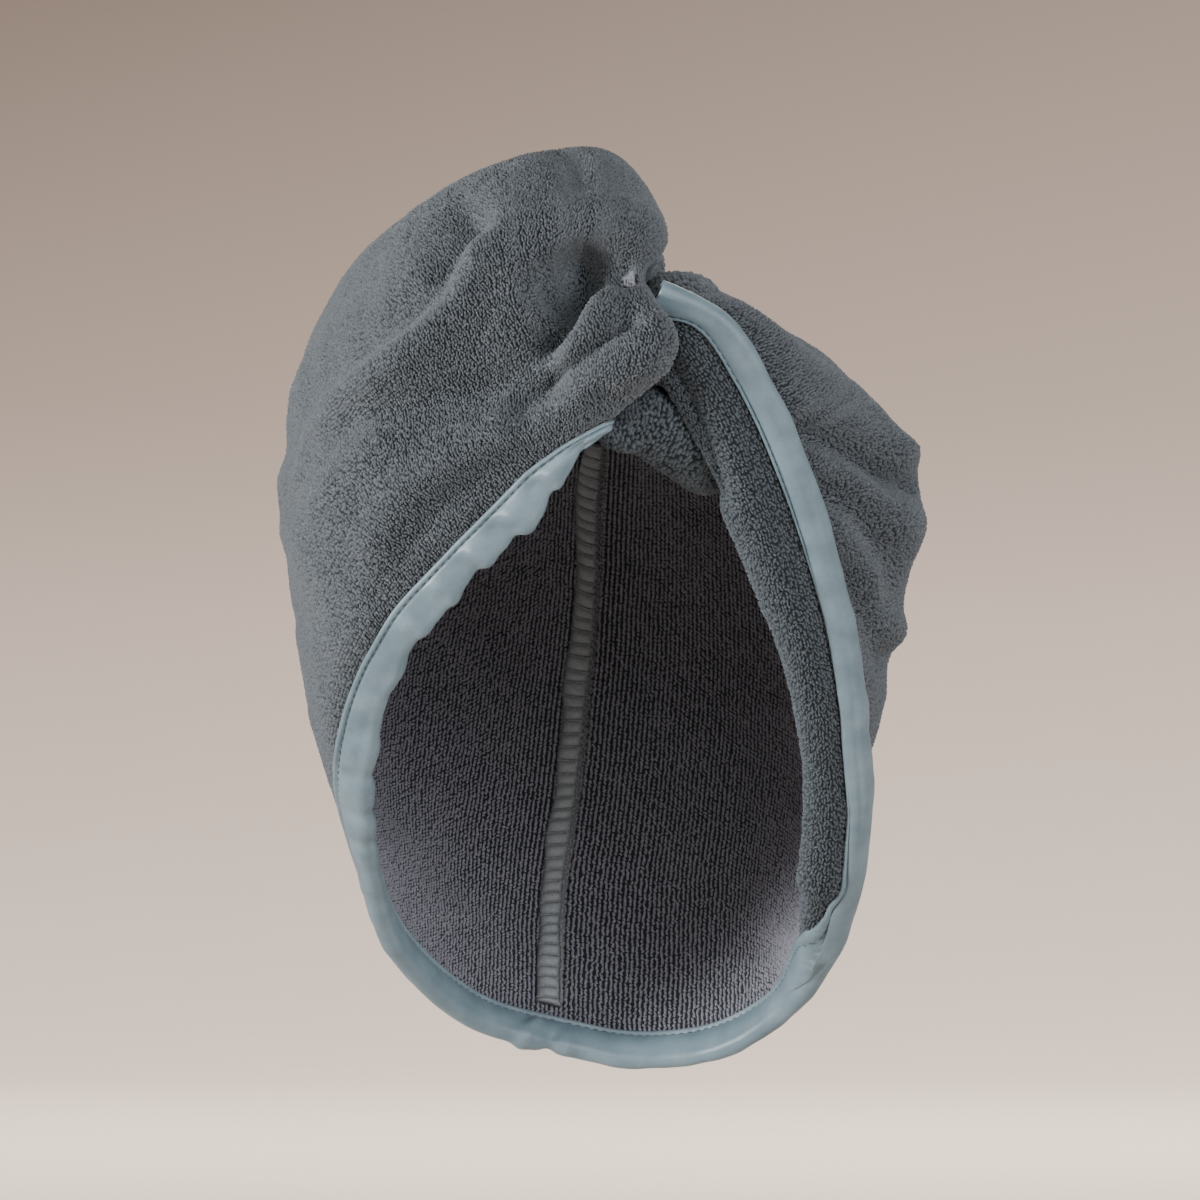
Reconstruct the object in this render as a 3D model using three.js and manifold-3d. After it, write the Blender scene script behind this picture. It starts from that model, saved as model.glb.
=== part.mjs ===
// Hair turban towel, twisted over the forehead and worn. Units are millimetres.
// X points to the wearer's left as seen from the front, Y points to the back of the head, Z points up.
// The origin is the head seat: the top of the hollow, where the crown of a head rests.
import * as THREE from 'three';
import { mergeVertices } from 'three/addons/utils/BufferGeometryUtils.js';
import Module from 'manifold-3d';

const wasm = await Module();
wasm.setup();

// Driving sizes.
const wrapWidth = 194;
const wrapDepth = 200;
const wrapHeight = 278;
const seatShare = 0.03; // the tables' level of the head seat, in wrap heights
const terryThickness = 3;
const foldHeight = 6;
const foldWidth = 8;
const clearance = 0.35;
const bindingWidth = 12;
const satinThickness = 0.8;
const bindingRoom = 0.8; // between the cloth and the satin folded over it
const seamWidth = 8;
const seamHeight = 2.2;
const seamOffset = 0.6; // from the line where the panels meet
const seamStart = 1.5; // above the binding
const seamPlace = 5.2; // where the seam ends, in columns of the left table
const seamRows = 16;
const tailWidth = 46;
const tailThickness = 27;
const tailTwist = 3.2; // turn of the groove along the tail, in radians per station
const grooveShare = 0.09;
const strandWidth = 22;
const pleatWidth = 20;
const tuckWidth = 9;
const buttonDiameter = 18;
const buttonThickness = 4;
const loopLength = 30;
const loopWidth = 16;
const loopWire = 3;
const stemGrip = 1; // how far the loop presses into the stem, and the stem into the button
const mostSteps = 400;

// Each row is one section of cloth, from the bound rim round the outside to the middle of the crown.
// Each cell is [x, y, z] in shares of the wrap's width, depth and height.
// Columns: rim, near, mid, waist, lobe, top, foot.
const leftSections = {
  tucked: [[-0.015, -0.480, -0.103], [0.012, -0.500, -0.072], [0.031, -0.515, -0.022], [0.019, -0.460, 0.032],
    [0.039, -0.400, 0.027], [0.049, -0.350, 0.027], [0.062, -0.300, 0.029]],
  knotEdge: [[0.005, -0.545, -0.109], [0.055, -0.560, -0.072], [0.088, -0.585, -0.005], [0.066, -0.520, 0.044],
    [0.077, -0.460, 0.090], [0.078, -0.330, 0.115], [0.074, -0.220, 0.043]],
  knot: [[-0.030, -0.545, -0.137], [-0.010, -0.575, -0.083], [0.011, -0.610, -0.011], [-0.012, -0.520, 0.053],
    [0.000, -0.500, 0.125], [0.006, -0.310, 0.184], [0.073, -0.120, 0.043]],
  roll: [[-0.101, -0.510, -0.200], [-0.150, -0.535, -0.132], [-0.139, -0.540, -0.027], [-0.155, -0.520, 0.038],
    [-0.166, -0.475, 0.115], [-0.133, -0.200, 0.171], [0.066, -0.030, 0.039]],
  temple: [[-0.209, -0.455, -0.275], [-0.260, -0.485, -0.205], [-0.302, -0.475, -0.081], [-0.309, -0.460, -0.016],
    [-0.308, -0.350, 0.062], [-0.254, -0.075, 0.127], [0.054, 0.040, 0.033]],
  brow: [[-0.296, -0.385, -0.345], [-0.362, -0.410, -0.285], [-0.425, -0.330, -0.156], [-0.433, -0.250, -0.081],
    [-0.420, -0.100, 0.002], [-0.343, 0.100, 0.062], [0.042, 0.090, 0.026]],
  ear: [[-0.348, -0.290, -0.421], [-0.416, -0.300, -0.367], [-0.472, -0.125, -0.254], [-0.489, 0.025, -0.167],
    [-0.464, 0.175, -0.070], [-0.325, 0.275, 0.016], [0.034, 0.135, 0.018]],
  underEar: [[-0.368, -0.190, -0.502], [-0.426, -0.160, -0.453], [-0.463, 0.075, -0.351], [-0.440, 0.275, -0.254],
    [-0.340, 0.400, -0.135], [-0.201, 0.400, -0.049], [0.028, 0.170, 0.009]],
  jaw: [[-0.364, -0.040, -0.583], [-0.388, 0.060, -0.545], [-0.398, 0.275, -0.459], [-0.332, 0.450, -0.351],
    [-0.216, 0.500, -0.221], [-0.108, 0.460, -0.103], [0.022, 0.200, 0.001]],
  neckSide: [[-0.326, 0.125, -0.674], [-0.312, 0.225, -0.626], [-0.278, 0.400, -0.545], [-0.201, 0.525, -0.437],
    [-0.116, 0.550, -0.286], [-0.046, 0.485, -0.135], [0.018, 0.230, -0.006]],
  neck: [[-0.209, 0.280, -0.752], [-0.193, 0.360, -0.696], [-0.162, 0.475, -0.610], [-0.108, 0.560, -0.480],
    [-0.054, 0.570, -0.318], [-0.015, 0.495, -0.151], [0.014, 0.255, -0.012]],
  seam: [[-0.062, 0.350, -0.785], [-0.062, 0.420, -0.728], [-0.053, 0.510, -0.626], [-0.028, 0.575, -0.491],
    [-0.006, 0.580, -0.329], [0.008, 0.500, -0.156], [0.012, 0.275, -0.018]],
};

// Columns: rim, fold, behind, side, shoulder, top, foot.
const rightSections = {
  seam: leftSections.seam,
  nape: [[0.062, 0.365, -0.800], [0.062, 0.430, -0.739], [0.059, 0.520, -0.626], [0.049, 0.580, -0.491],
    [0.039, 0.580, -0.329], [0.025, 0.500, -0.156], [0.013, 0.270, -0.016]],
  neck: [[0.186, 0.330, -0.789], [0.178, 0.400, -0.732], [0.162, 0.500, -0.615], [0.136, 0.560, -0.480],
    [0.096, 0.565, -0.318], [0.054, 0.495, -0.151], [0.015, 0.255, -0.012]],
  neckSide: [[0.283, 0.260, -0.751], [0.272, 0.320, -0.708], [0.260, 0.430, -0.610], [0.229, 0.520, -0.469],
    [0.162, 0.540, -0.297], [0.085, 0.480, -0.135], [0.018, 0.235, -0.007]],
  jaw: [[0.342, 0.165, -0.699], [0.319, 0.180, -0.683], [0.332, 0.290, -0.621], [0.328, 0.410, -0.469],
    [0.247, 0.490, -0.264], [0.131, 0.460, -0.108], [0.022, 0.205, 0.000]],
  underEar: [[0.384, 0.040, -0.624], [0.332, 0.040, -0.621], [0.368, 0.150, -0.577], [0.402, 0.250, -0.437],
    [0.332, 0.400, -0.221], [0.178, 0.410, -0.076], [0.028, 0.170, 0.009]],
  earLow: [[0.409, -0.100, -0.523], [0.348, -0.070, -0.529], [0.390, 0.010, -0.496], [0.448, 0.110, -0.351],
    [0.402, 0.290, -0.167], [0.224, 0.330, -0.043], [0.035, 0.130, 0.019]],
  ear: [[0.402, -0.215, -0.432], [0.340, -0.190, -0.428], [0.387, -0.110, -0.403], [0.476, 0.000, -0.270],
    [0.441, 0.175, -0.124], [0.255, 0.225, -0.016], [0.045, 0.080, 0.028]],
  earTop: [[0.385, -0.295, -0.345], [0.308, -0.280, -0.345], [0.379, -0.210, -0.308], [0.498, -0.060, -0.189],
    [0.418, 0.050, -0.081], [0.255, 0.110, 0.003], [0.056, 0.030, 0.034]],
  brow: [[0.354, -0.370, -0.254], [0.252, -0.355, -0.259], [0.359, -0.290, -0.210], [0.462, -0.125, -0.127],
    [0.346, -0.040, -0.051], [0.218, 0.000, 0.006], [0.065, -0.020, 0.038]],
  temple: [[0.312, -0.430, -0.162], [0.200, -0.415, -0.178], [0.320, -0.360, -0.115], [0.394, -0.190, -0.076],
    [0.279, -0.125, -0.013], [0.175, -0.100, 0.022], [0.071, -0.080, 0.041]],
  roll: [[0.258, -0.480, -0.076], [0.138, -0.465, -0.097], [0.276, -0.410, -0.041], [0.318, -0.260, -0.030],
    [0.212, -0.210, 0.010], [0.136, -0.190, 0.034], [0.074, -0.150, 0.043]],
  knot: [[0.186, -0.520, 0.003], [0.080, -0.485, -0.027], [0.204, -0.440, 0.014], [0.216, -0.320, 0.021],
    [0.139, -0.290, 0.038], [0.111, -0.260, 0.046], [0.076, -0.225, 0.043]],
  knotEnd: [[0.093, -0.540, 0.038], [0.062, -0.475, 0.003], [0.085, -0.440, 0.027], [0.101, -0.390, 0.038],
    [0.101, -0.350, 0.044], [0.093, -0.320, 0.046], [0.077, -0.290, 0.040]],
};

// Folds of the cloth as the front view shows them. A path holds [x, z] in shares of the wrap's width
// and height. Height and width are shares of the fold height and fold width; a valley's height is below 0.
const leftFolds = {
  highRidge: { height: 0.7, width: 1.2, path: [[-0.178, 0.092], [-0.240, 0.014], [-0.340, -0.057],
    [-0.430, -0.111], [-0.467, -0.173]] },
  highValley: { height: -0.7, width: 0.9, path: [[-0.195, 0.110], [-0.222, 0.049], [-0.285, 0.002],
    [-0.385, -0.062]] },
  sideValley: { height: -0.6, width: 0.9, path: [[-0.178, -0.088], [-0.294, -0.094], [-0.359, -0.108],
    [-0.410, -0.140], [-0.445, -0.200]] },
  knotCrease: { height: -1.1, width: 0.8, path: [[-0.005, 0.050], [-0.040, 0.030], [-0.065, 0.005],
    [-0.108, -0.038]] },
  rollCrease: { height: -0.7, width: 0.7, path: [[-0.015, -0.025], [-0.062, -0.062], [-0.110, -0.083]] },
  rollRidge: { height: 0.8, width: 1.1, path: [[0.085, -0.022], [0.015, -0.036], [-0.023, -0.062],
    [-0.082, -0.096], [-0.139, -0.115], [-0.198, -0.135], [-0.255, -0.164], [-0.309, -0.205]] },
  edgeValley: { height: -0.5, width: 1.0, path: [[-0.060, -0.125], [-0.139, -0.155], [-0.198, -0.196],
    [-0.275, -0.255], [-0.340, -0.300]] },
  cheekRidge: { height: 0.5, width: 1.6, path: [[-0.348, -0.137], [-0.420, -0.205], [-0.440, -0.261]] },
  topDip: { height: -0.3, width: 0.9, path: [[-0.075, 0.190], [-0.060, 0.150]] },
};

const rightFolds = {
  upperValley: { height: -0.8, width: 0.9, path: [[0.323, -0.118], [0.383, -0.139], [0.442, -0.163],
    [0.490, -0.163]] },
  upperRidge: { height: 0.6, width: 0.9, path: [[0.340, -0.145], [0.402, -0.170], [0.462, -0.208]] },
  middleValley: { height: -0.7, width: 0.8, path: [[0.343, -0.172], [0.410, -0.215], [0.445, -0.255],
    [0.447, -0.290]] },
  lowerRidge: { height: 0.6, width: 0.9, path: [[0.363, -0.205], [0.394, -0.242], [0.422, -0.280],
    [0.442, -0.315]] },
  lowerValley: { height: -0.6, width: 0.8, path: [[0.387, -0.283], [0.422, -0.331], [0.438, -0.359]] },
};

// The tail's stations. Columns: x, y and z in shares of the wrap's sizes, width and thickness in shares
// of the tail's.
const tailStations = {
  start: [0.010, -0.080, 0.040, 0.45, 0.55],
  crown: [-0.010, 0.060, 0.070, 0.80, 0.85],
  backCrown: [-0.005, 0.260, 0.052, 1.00, 1.00],
  upperBack: [-0.002, 0.485, -0.085, 1.00, 1.00],
  middleBack: [-0.010, 0.615, -0.280, 0.95, 0.95],
  lowBack: [-0.030, 0.625, -0.450, 0.85, 0.85],
  nape: [-0.045, 0.570, -0.580, 0.70, 0.70],
  tip: [-0.054, 0.515, -0.655, 0.50, 0.50],
};

// Small rolls of cloth round the knot. Columns: x, y, z, then width and thickness in shares of the roll's.
const strandStations = [[0.088, -0.410, 0.000, 0.70, 0.70], [0.115, -0.380, 0.017, 1.00, 0.90],
  [0.136, -0.310, 0.014, 0.95, 0.80], [0.146, -0.220, 0.002, 0.60, 0.60]];
const pleatStations = [[0.020, -0.475, -0.088, 0.60, 0.70], [0.080, -0.435, -0.106, 1.00, 1.00],
  [0.140, -0.380, -0.136, 1.00, 1.00], [0.185, -0.320, -0.174, 0.50, 0.70]];
const tuckStations = [[0.000, -0.485, -0.116, 0.80, 0.80], [0.040, -0.465, -0.120, 1.00, 1.00],
  [0.080, -0.440, -0.122, 0.70, 0.70]];

// The point that a table's shares stand for.
function place([x, y, z]) {
  return new THREE.Vector3(x * wrapWidth, y * wrapDepth, (z - seatShare) * wrapHeight);
}

// A smooth curve value through four neighbours, by Catmull and Rom's formula.
function smoothBetween(a, b, c, d, t) {
  const t2 = t * t;
  const t3 = t2 * t;
  const one = (p, q, r, u) => 0.5 * (2 * q + (r - p) * t + (2 * p - 5 * q + 4 * r - u) * t2
    + (3 * q - p - 3 * r + u) * t3);
  return new THREE.Vector3(one(a.x, b.x, c.x, d.x), one(a.y, b.y, c.y, d.y), one(a.z, b.z, c.z, d.z));
}

// The value at place t on a row of points, which is run past each end by one mirrored point.
function along(count, pointAt, t) {
  const last = count - 1;
  const i = Math.min(Math.max(Math.floor(t), 0), last - 1);
  const from = pointAt(i);
  const to = pointAt(i + 1);
  const before = i > 0 ? pointAt(i - 1) : from.clone().multiplyScalar(2).sub(to);
  const after = i + 2 <= last ? pointAt(i + 2) : to.clone().multiplyScalar(2).sub(from);
  return smoothBetween(before, from, to, after, t - i);
}

// The normal of a surface at (s, t), on the outside of the hood.
function normalAt(surface, s, t) {
  const h = 0.02;
  const ds = surface(s + h, t).sub(surface(s - h, t));
  const dt = surface(s, t + h).sub(surface(s, t - h));
  return dt.cross(ds).normalize();
}

// The distance from a point to a path in the front view.
function pathDistance(path, x, z) {
  let nearest = Infinity;
  for (let i = 0; i + 1 < path.length; i += 1) {
    const [ax, az] = path[i];
    const [bx, bz] = path[i + 1];
    const length2 = (bx - ax) ** 2 + (bz - az) ** 2;
    const u = Math.min(Math.max(((x - ax) * (bx - ax) + (z - az) * (bz - az)) / length2, 0), 1);
    nearest = Math.min(nearest, Math.hypot(x - ax - u * (bx - ax), z - az - u * (bz - az)));
  }
  return nearest;
}

// The height of the folds at a point: each is a bell curve across its path, on cloth that faces front.
function foldAt(folds, point, normal) {
  const facing = Math.min(Math.max(-normal.y * 2.5 + 0.5, 0), 1);
  let sum = 0;
  for (const fold of folds) {
    const distance = pathDistance(fold.points, point.x, point.z);
    sum += fold.height * foldHeight * Math.exp(-((distance / (fold.width * foldWidth)) ** 2));
  }
  return sum * facing;
}

// A panel's surface: place s counts the sections and place t counts the columns.
// A neighbour's section before or after lets both halves meet at the back seam with one slope.
function panelSurface(sections, folds, before, after) {
  const rows = [...before, ...Object.values(sections), ...after].map((cells) => cells.map(place));
  const first = before.length;
  const across = (i, t) => along(rows[i].length, (j) => rows[i][j], t);
  const base = (s, t) => along(rows.length, (i) => across(i, t), s + first);
  const laid = Object.values(folds).map((fold) => ({
    ...fold,
    points: fold.path.map(([x, z]) => [x * wrapWidth, (z - seatShare) * wrapHeight]),
  }));
  return (s, t) => {
    const point = base(s, t);
    const normal = normalAt(base, s, t);
    const edgeRest = Math.min(Math.max(t / 1.2 - 0.2, 0), 1); // the bound edge stays flat
    return point.addScaledVector(normal, foldAt(laid, point, normal) * edgeRest);
  };
}

const leftSurface = panelSurface(leftSections, leftFolds, [], [rightSections.nape]);
const rightSurface = panelSurface(rightSections, rightFolds, [leftSections.neck], []);

// How many steps a walk on a surface takes to go a chosen length.
function walk(surface, s, t, stepS, stepT, length) {
  let gone = 0;
  let last = surface(s, t);
  let at = 0;
  while (gone < length && at < mostSteps) {
    at += 1;
    const next = surface(s + at * stepS, t + at * stepT);
    gone += next.distanceTo(last);
    last = next;
  }
  return at;
}

// A list of places, with a chosen count of steps in each unit interval.
function places(stepsPerInterval) {
  const out = [0];
  stepsPerInterval.forEach((steps, i) => {
    for (let k = 1; k <= steps; k += 1) out.push(i + k / steps);
  });
  return out;
}

// A geometry from points and triangles, with its faces turned outwards.
function closedGeometry(points, index) {
  let volume = 0;
  for (let i = 0; i < index.length; i += 3) {
    const [a, b, c] = [points[index[i]], points[index[i + 1]], points[index[i + 2]]];
    volume += a.dot(b.clone().cross(c));
  }
  const geometry = new THREE.BufferGeometry();
  geometry.setAttribute('position', new THREE.Float32BufferAttribute(points.flatMap((p) => p.toArray()), 3));
  geometry.setIndex(volume < 0 ? index.reverse() : index);
  return geometry;
}

// A closed tube from rings of points, with a fan over both ends.
function tubeGeometry(rings) {
  const n = rings[0].length;
  const points = rings.flat();
  const index = [];
  for (let i = 0; i + 1 < rings.length; i += 1) {
    for (let j = 0; j < n; j += 1) {
      const a = i * n + j;
      const b = i * n + ((j + 1) % n);
      index.push(a, b, b + n, a, b + n, a + n);
    }
  }
  for (const [row, turned] of [[0, true], [rings.length - 1, false]]) {
    const centre = rings[row].reduce((sum, p) => sum.add(p), new THREE.Vector3()).divideScalar(n);
    const hub = points.push(centre) - 1;
    for (let j = 0; j < n; j += 1) {
      const a = row * n + j;
      const b = row * n + ((j + 1) % n);
      index.push(...(turned ? [hub, b, a] : [hub, a, b]));
    }
  }
  return closedGeometry(points, index);
}

// A sheet: an outer and an inner grid of points, joined round their edges.
function sheetGeometry(outer, inner) {
  const rows = outer.length;
  const columns = outer[0].length;
  const back = rows * columns;
  const at = (i, j) => i * columns + j;
  const index = [];
  const quad = (a, b, c, d) => index.push(a, b, c, a, c, d);
  for (let i = 0; i + 1 < rows; i += 1) {
    for (let j = 0; j + 1 < columns; j += 1) {
      quad(at(i, j), at(i + 1, j), at(i + 1, j + 1), at(i, j + 1));
      quad(back + at(i, j), back + at(i, j + 1), back + at(i + 1, j + 1), back + at(i + 1, j));
    }
    quad(at(i, 0), back + at(i, 0), back + at(i + 1, 0), at(i + 1, 0));
    quad(at(i, columns - 1), at(i + 1, columns - 1), back + at(i + 1, columns - 1), back + at(i, columns - 1));
  }
  for (let j = 0; j + 1 < columns; j += 1) {
    quad(at(0, j), at(0, j + 1), back + at(0, j + 1), back + at(0, j));
    quad(at(rows - 1, j), back + at(rows - 1, j), back + at(rows - 1, j + 1), at(rows - 1, j + 1));
  }
  return closedGeometry([...outer.flat(), ...inner.flat()], index);
}

// The solid that a geometry encloses.
function solidOf(geometry) {
  const bare = geometry.clone();
  bare.deleteAttribute('normal');
  bare.deleteAttribute('uv');
  const merged = mergeVertices(bare, 1e-3);
  const mesh = new wasm.Mesh({
    numProp: 3,
    vertProperties: new Float32Array(merged.attributes.position.array),
    triVerts: new Uint32Array(merged.index.array),
  });
  mesh.merge();
  return new wasm.Manifold(mesh);
}

// The geometry of a solid.
function geometryOf(solid) {
  const mesh = solid.getMesh();
  const geometry = new THREE.BufferGeometry();
  geometry.setAttribute('position', new THREE.BufferAttribute(mesh.vertProperties, mesh.numProp));
  geometry.setIndex(new THREE.BufferAttribute(mesh.triVerts, 1));
  return geometry;
}

// What is left of a geometry clear of the rooms that others need. Only its largest piece is kept.
function clearOf(geometry, rooms) {
  let solid = solidOf(geometry);
  for (const room of rooms) solid = solid.subtract(room);
  const rounded = solidOf(geometryOf(solid)); // merges the cut's shortest edges
  return geometryOf(rounded.decompose().sort((a, b) => b.volume() - a.volume())[0]);
}

// One half of the hood. The extra grows the sheet on both faces, for the room that it needs.
function panelGeometry(surface, sPlaces, tPlaces, extra = 0) {
  const offsetGrid = (offset) => sPlaces.map((s) => tPlaces.map((t) => (
    surface(s, t).addScaledVector(normalAt(surface, s, t), offset))));
  return sheetGeometry(offsetGrid(extra), offsetGrid(-terryThickness - extra));
}

// The satin edge round a panel's rim: a channel, open to the cloth, one row per section.
function bindingRows(surface, sPlaces, depth, outsideLimit = Infinity) {
  return sPlaces.map((s) => {
    const step = 0.01;
    const reach = walk(surface, s, 0, 0, step, bindingWidth) * step;
    const lift = (t, offset) => surface(s, t).addScaledVector(normalAt(surface, s, t), offset);
    const out = surface(s, 0).sub(surface(s, step)).normalize().multiplyScalar(bindingRoom + depth);
    const up = bindingRoom + depth;
    const down = -terryThickness - bindingRoom - depth;
    const outside = Math.min(reach, outsideLimit); // a lapel's outside stops short of its turn
    return [...[1, 0.75, 0.5, 0.25].map((share) => lift(share * outside, up)), lift(0, up).add(out),
      lift(0, down).add(out), ...[0.25, 0.5, 0.75, 1].map((share) => lift(share * reach, down))];
  });
}

// A roll of cloth through stations, flattened to its width and thickness and rounded at both ends.
function rollGeometry(stations, size, options) {
  const { width, thickness } = size;
  const { rings, sides, across, twist = 0, groove = 0 } = options;
  const centres = stations.map(place);
  const sizes = stations.map(([, , , w, h]) => new THREE.Vector3(w * width, h * thickness, 0));
  const last = stations.length - 1;
  const out = [];
  for (let i = 0; i <= rings; i += 1) {
    const share = 0.5 - 0.5 * Math.cos((Math.PI * i) / rings);
    const u = 0.02 + share * (last - 0.04);
    const centre = along(centres.length, (k) => centres[k], u);
    const size2 = along(sizes.length, (k) => sizes[k], u);
    const h = 0.02;
    const ahead = along(centres.length, (k) => centres[k], u + h);
    const forward = ahead.sub(along(centres.length, (k) => centres[k], u - h)).normalize();
    const side = across.clone().addScaledVector(forward, -across.dot(forward)).normalize();
    const up = forward.clone().cross(side);
    const near = Math.min(u, last - u) / 0.6;
    const round = near < 1 ? Math.sqrt(1 - (1 - near) ** 2) : 1;
    const ring = [];
    for (let j = 0; j < sides; j += 1) {
      const angle = (2 * Math.PI * j) / sides;
      const grooved = round * (1 - groove * (0.5 + 0.5 * Math.cos(2 * angle - twist * u)));
      ring.push(centre.clone()
        .addScaledVector(side, 0.5 * size2.x * grooved * Math.cos(angle))
        .addScaledVector(up, 0.5 * size2.y * grooved * Math.sin(angle)));
    }
    out.push(ring);
  }
  return tubeGeometry(out);
}

const terry = { color: 0x5c6467, roughness: 0.95, metalness: 0 };
const pile = { color: 0x504c50, roughness: 0.95, metalness: 0 };
const satin = { color: 0x8fa5aa, roughness: 0.35, metalness: 0 };
const elastic = { color: 0x4a5052, roughness: 0.7, metalness: 0 };

const wrap = new THREE.Group();

function addPart(name, geometry, look) {
  const mesh = new THREE.Mesh(geometry, new THREE.MeshStandardMaterial(look));
  mesh.name = name;
  wrap.add(mesh);
  return mesh;
}

// The sheets stop short of the back seam and of the crown line, which they share.
const seamStep = clearance / (0.1 * wrapWidth);
const crownStep = clearance / (0.25 * wrapDepth);
const leftSteps = places([2, 3, 3, 3, 3, 3, 2, 2, 2, 2, 2]);
leftSteps[leftSteps.length - 1] -= seamStep;
const leftAcross = places([4, 3, 4, 4, 4, 3]);
leftAcross[leftAcross.length - 1] -= crownStep;
const rightSteps = places([2, 2, 2, 2, 3, 3, 3, 3, 3, 3, 2, 2, 2]);
rightSteps[0] += seamStep;
const rightAcross = places([5, 6, 4, 3, 3, 2]);
rightAcross[rightAcross.length - 1] -= crownStep;

addPart('left_panel', panelGeometry(leftSurface, leftSteps, leftAcross), terry);
const leftRoom = solidOf(panelGeometry(leftSurface, leftSteps, leftAcross, clearance));
const rightWhole = panelGeometry(rightSurface, rightSteps, rightAcross);
addPart('right_panel', clearOf(rightWhole, [leftRoom]), terry);

// The room that other pieces leave for both panels. It runs past the seam and the crown line.
const pastEnds = (steps) => [steps[0] - 0.06, ...steps, steps[steps.length - 1] + 0.06];
const roomExtra = 1.5 * clearance;
const panelRooms = [
  solidOf(panelGeometry(leftSurface, pastEnds(leftSteps), pastEnds(leftAcross), roomExtra)),
  solidOf(panelGeometry(rightSurface, pastEnds(rightSteps), pastEnds(rightAcross), roomExtra)),
];

// The binding follows the left rim from under the knot to the seam, then the right rim up to the knot.
const boundLeft = leftSteps.filter((s) => s > 1.9);
const bindingGrid = (depth) => [...bindingRows(leftSurface, boundLeft, depth),
  ...bindingRows(rightSurface, rightSteps, depth, 0.8)];
const bindingWhole = sheetGeometry(bindingGrid(satinThickness), bindingGrid(0));
addPart('edge_binding', clearOf(bindingWhole, [leftRoom]), satin);

// The back seam stands on the inside, beside the line where the panels meet.
const seamFrom = walk(rightSurface, 0, 0, 0, 0.01, bindingWidth + seamStart) * 0.01;
const seamSpan = seamPlace - seamFrom;
const seamPlaces = Array.from({ length: seamRows + 1 }, (_, i) => seamFrom + (i / seamRows) * seamSpan);
const seamRow = (t, heights) => heights.map((height, k) => {
  const length = seamOffset + (k / (heights.length - 1)) * seamWidth;
  const s = 11 - walk(leftSurface, 11, t, -0.005, 0, length) * 0.005;
  return leftSurface(s, t).addScaledVector(normalAt(leftSurface, s, t), -terryThickness - 2 * clearance - height);
});
const seamTop = seamPlaces.map((t) => seamRow(t, [0.6, 1, 1, 0.5].map((share) => share * seamHeight)));
const seamFoot = seamPlaces.map((t) => seamRow(t, [0, 0, 0, 0]));
addPart('back_seam', sheetGeometry(seamTop, seamFoot), pile);

// The twisted tail lies over the crown and down the back.
const xAxis = new THREE.Vector3(1, 0, 0);
const yAxis = new THREE.Vector3(0, 1, 0);
const tailOptions = { rings: 22, sides: 14, across: xAxis, twist: tailTwist, groove: grooveShare };
const tailGrown = (extra) => rollGeometry(Object.values(tailStations),
  { width: tailWidth + extra, thickness: tailThickness + extra }, tailOptions);
addPart('tail', clearOf(tailGrown(0), panelRooms), terry);

const roundRoll = (width) => ({ width, thickness: width });
const strandWhole = rollGeometry(strandStations, roundRoll(strandWidth), { rings: 9, sides: 10, across: xAxis });
addPart('right_strand', clearOf(strandWhole, panelRooms), terry);

const pleatWhole = rollGeometry(pleatStations, roundRoll(pleatWidth), { rings: 9, sides: 10, across: yAxis });
addPart('inner_pleat', clearOf(pleatWhole, panelRooms), terry);

const pleatRoom = rollGeometry(pleatStations, roundRoll(pleatWidth + 2 * clearance),
  { rings: 9, sides: 10, across: yAxis });
const tuckWhole = rollGeometry(tuckStations, roundRoll(tuckWidth), { rings: 6, sides: 8, across: yAxis });
addPart('inner_tuck', clearOf(tuckWhole, [...panelRooms, solidOf(pleatRoom)]), terry);

// The clasp at the nape: a button on a stem, with the tail's elastic loop round the stem.
const claspPlace = 1.15;
const claspFoot = leftSurface(11, claspPlace);
const claspUp = normalAt(leftSurface, 11, claspPlace);
const claspRise = leftSurface(11, claspPlace + 0.1).sub(claspFoot).normalize();
const claspSide = claspRise.clone().cross(claspUp);
const claspBase = new THREE.Matrix4().makeBasis(claspRise, claspUp, claspSide).setPosition(claspFoot);
const stemHeight = loopWire + 2 * clearance;
const stemDiameter = loopWidth - 2 * loopWire + stemGrip;
const stem = new THREE.CylinderGeometry(stemDiameter / 2, stemDiameter / 2, stemHeight + stemGrip, 16);
stem.translate(0, roomExtra + (stemHeight + stemGrip) / 2, 0);
const head = new THREE.CylinderGeometry(0.4 * buttonDiameter, buttonDiameter / 2, buttonThickness, 20);
head.translate(0, roomExtra + stemHeight + buttonThickness / 2, 0);
const loopPoints = Array.from({ length: 16 }, (_, i) => {
  const angle = (2 * Math.PI * i) / 16;
  const half = (loopWidth - loopWire) / 2;
  const shift = Math.cos(angle) > 0 ? loopLength - loopWidth : 0;
  return new THREE.Vector3(half * Math.cos(angle) + shift, roomExtra + loopWire / 2, half * Math.sin(angle));
});
const loopPath = new THREE.CatmullRomCurve3(loopPoints, true, 'centripetal');
const loop = new THREE.TubeGeometry(loopPath, 24, loopWire / 2, 6, true);
const clasp = [stem, head, loop].map((piece) => solidOf(piece.applyMatrix4(claspBase)));
const claspSolid = clasp[0].add(clasp[1]).add(clasp[2]);
addPart('nape_clasp', clearOf(geometryOf(claspSolid), [...panelRooms, solidOf(tailGrown(2 * clearance))]), elastic);

export default wrap;
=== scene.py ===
import math

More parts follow.
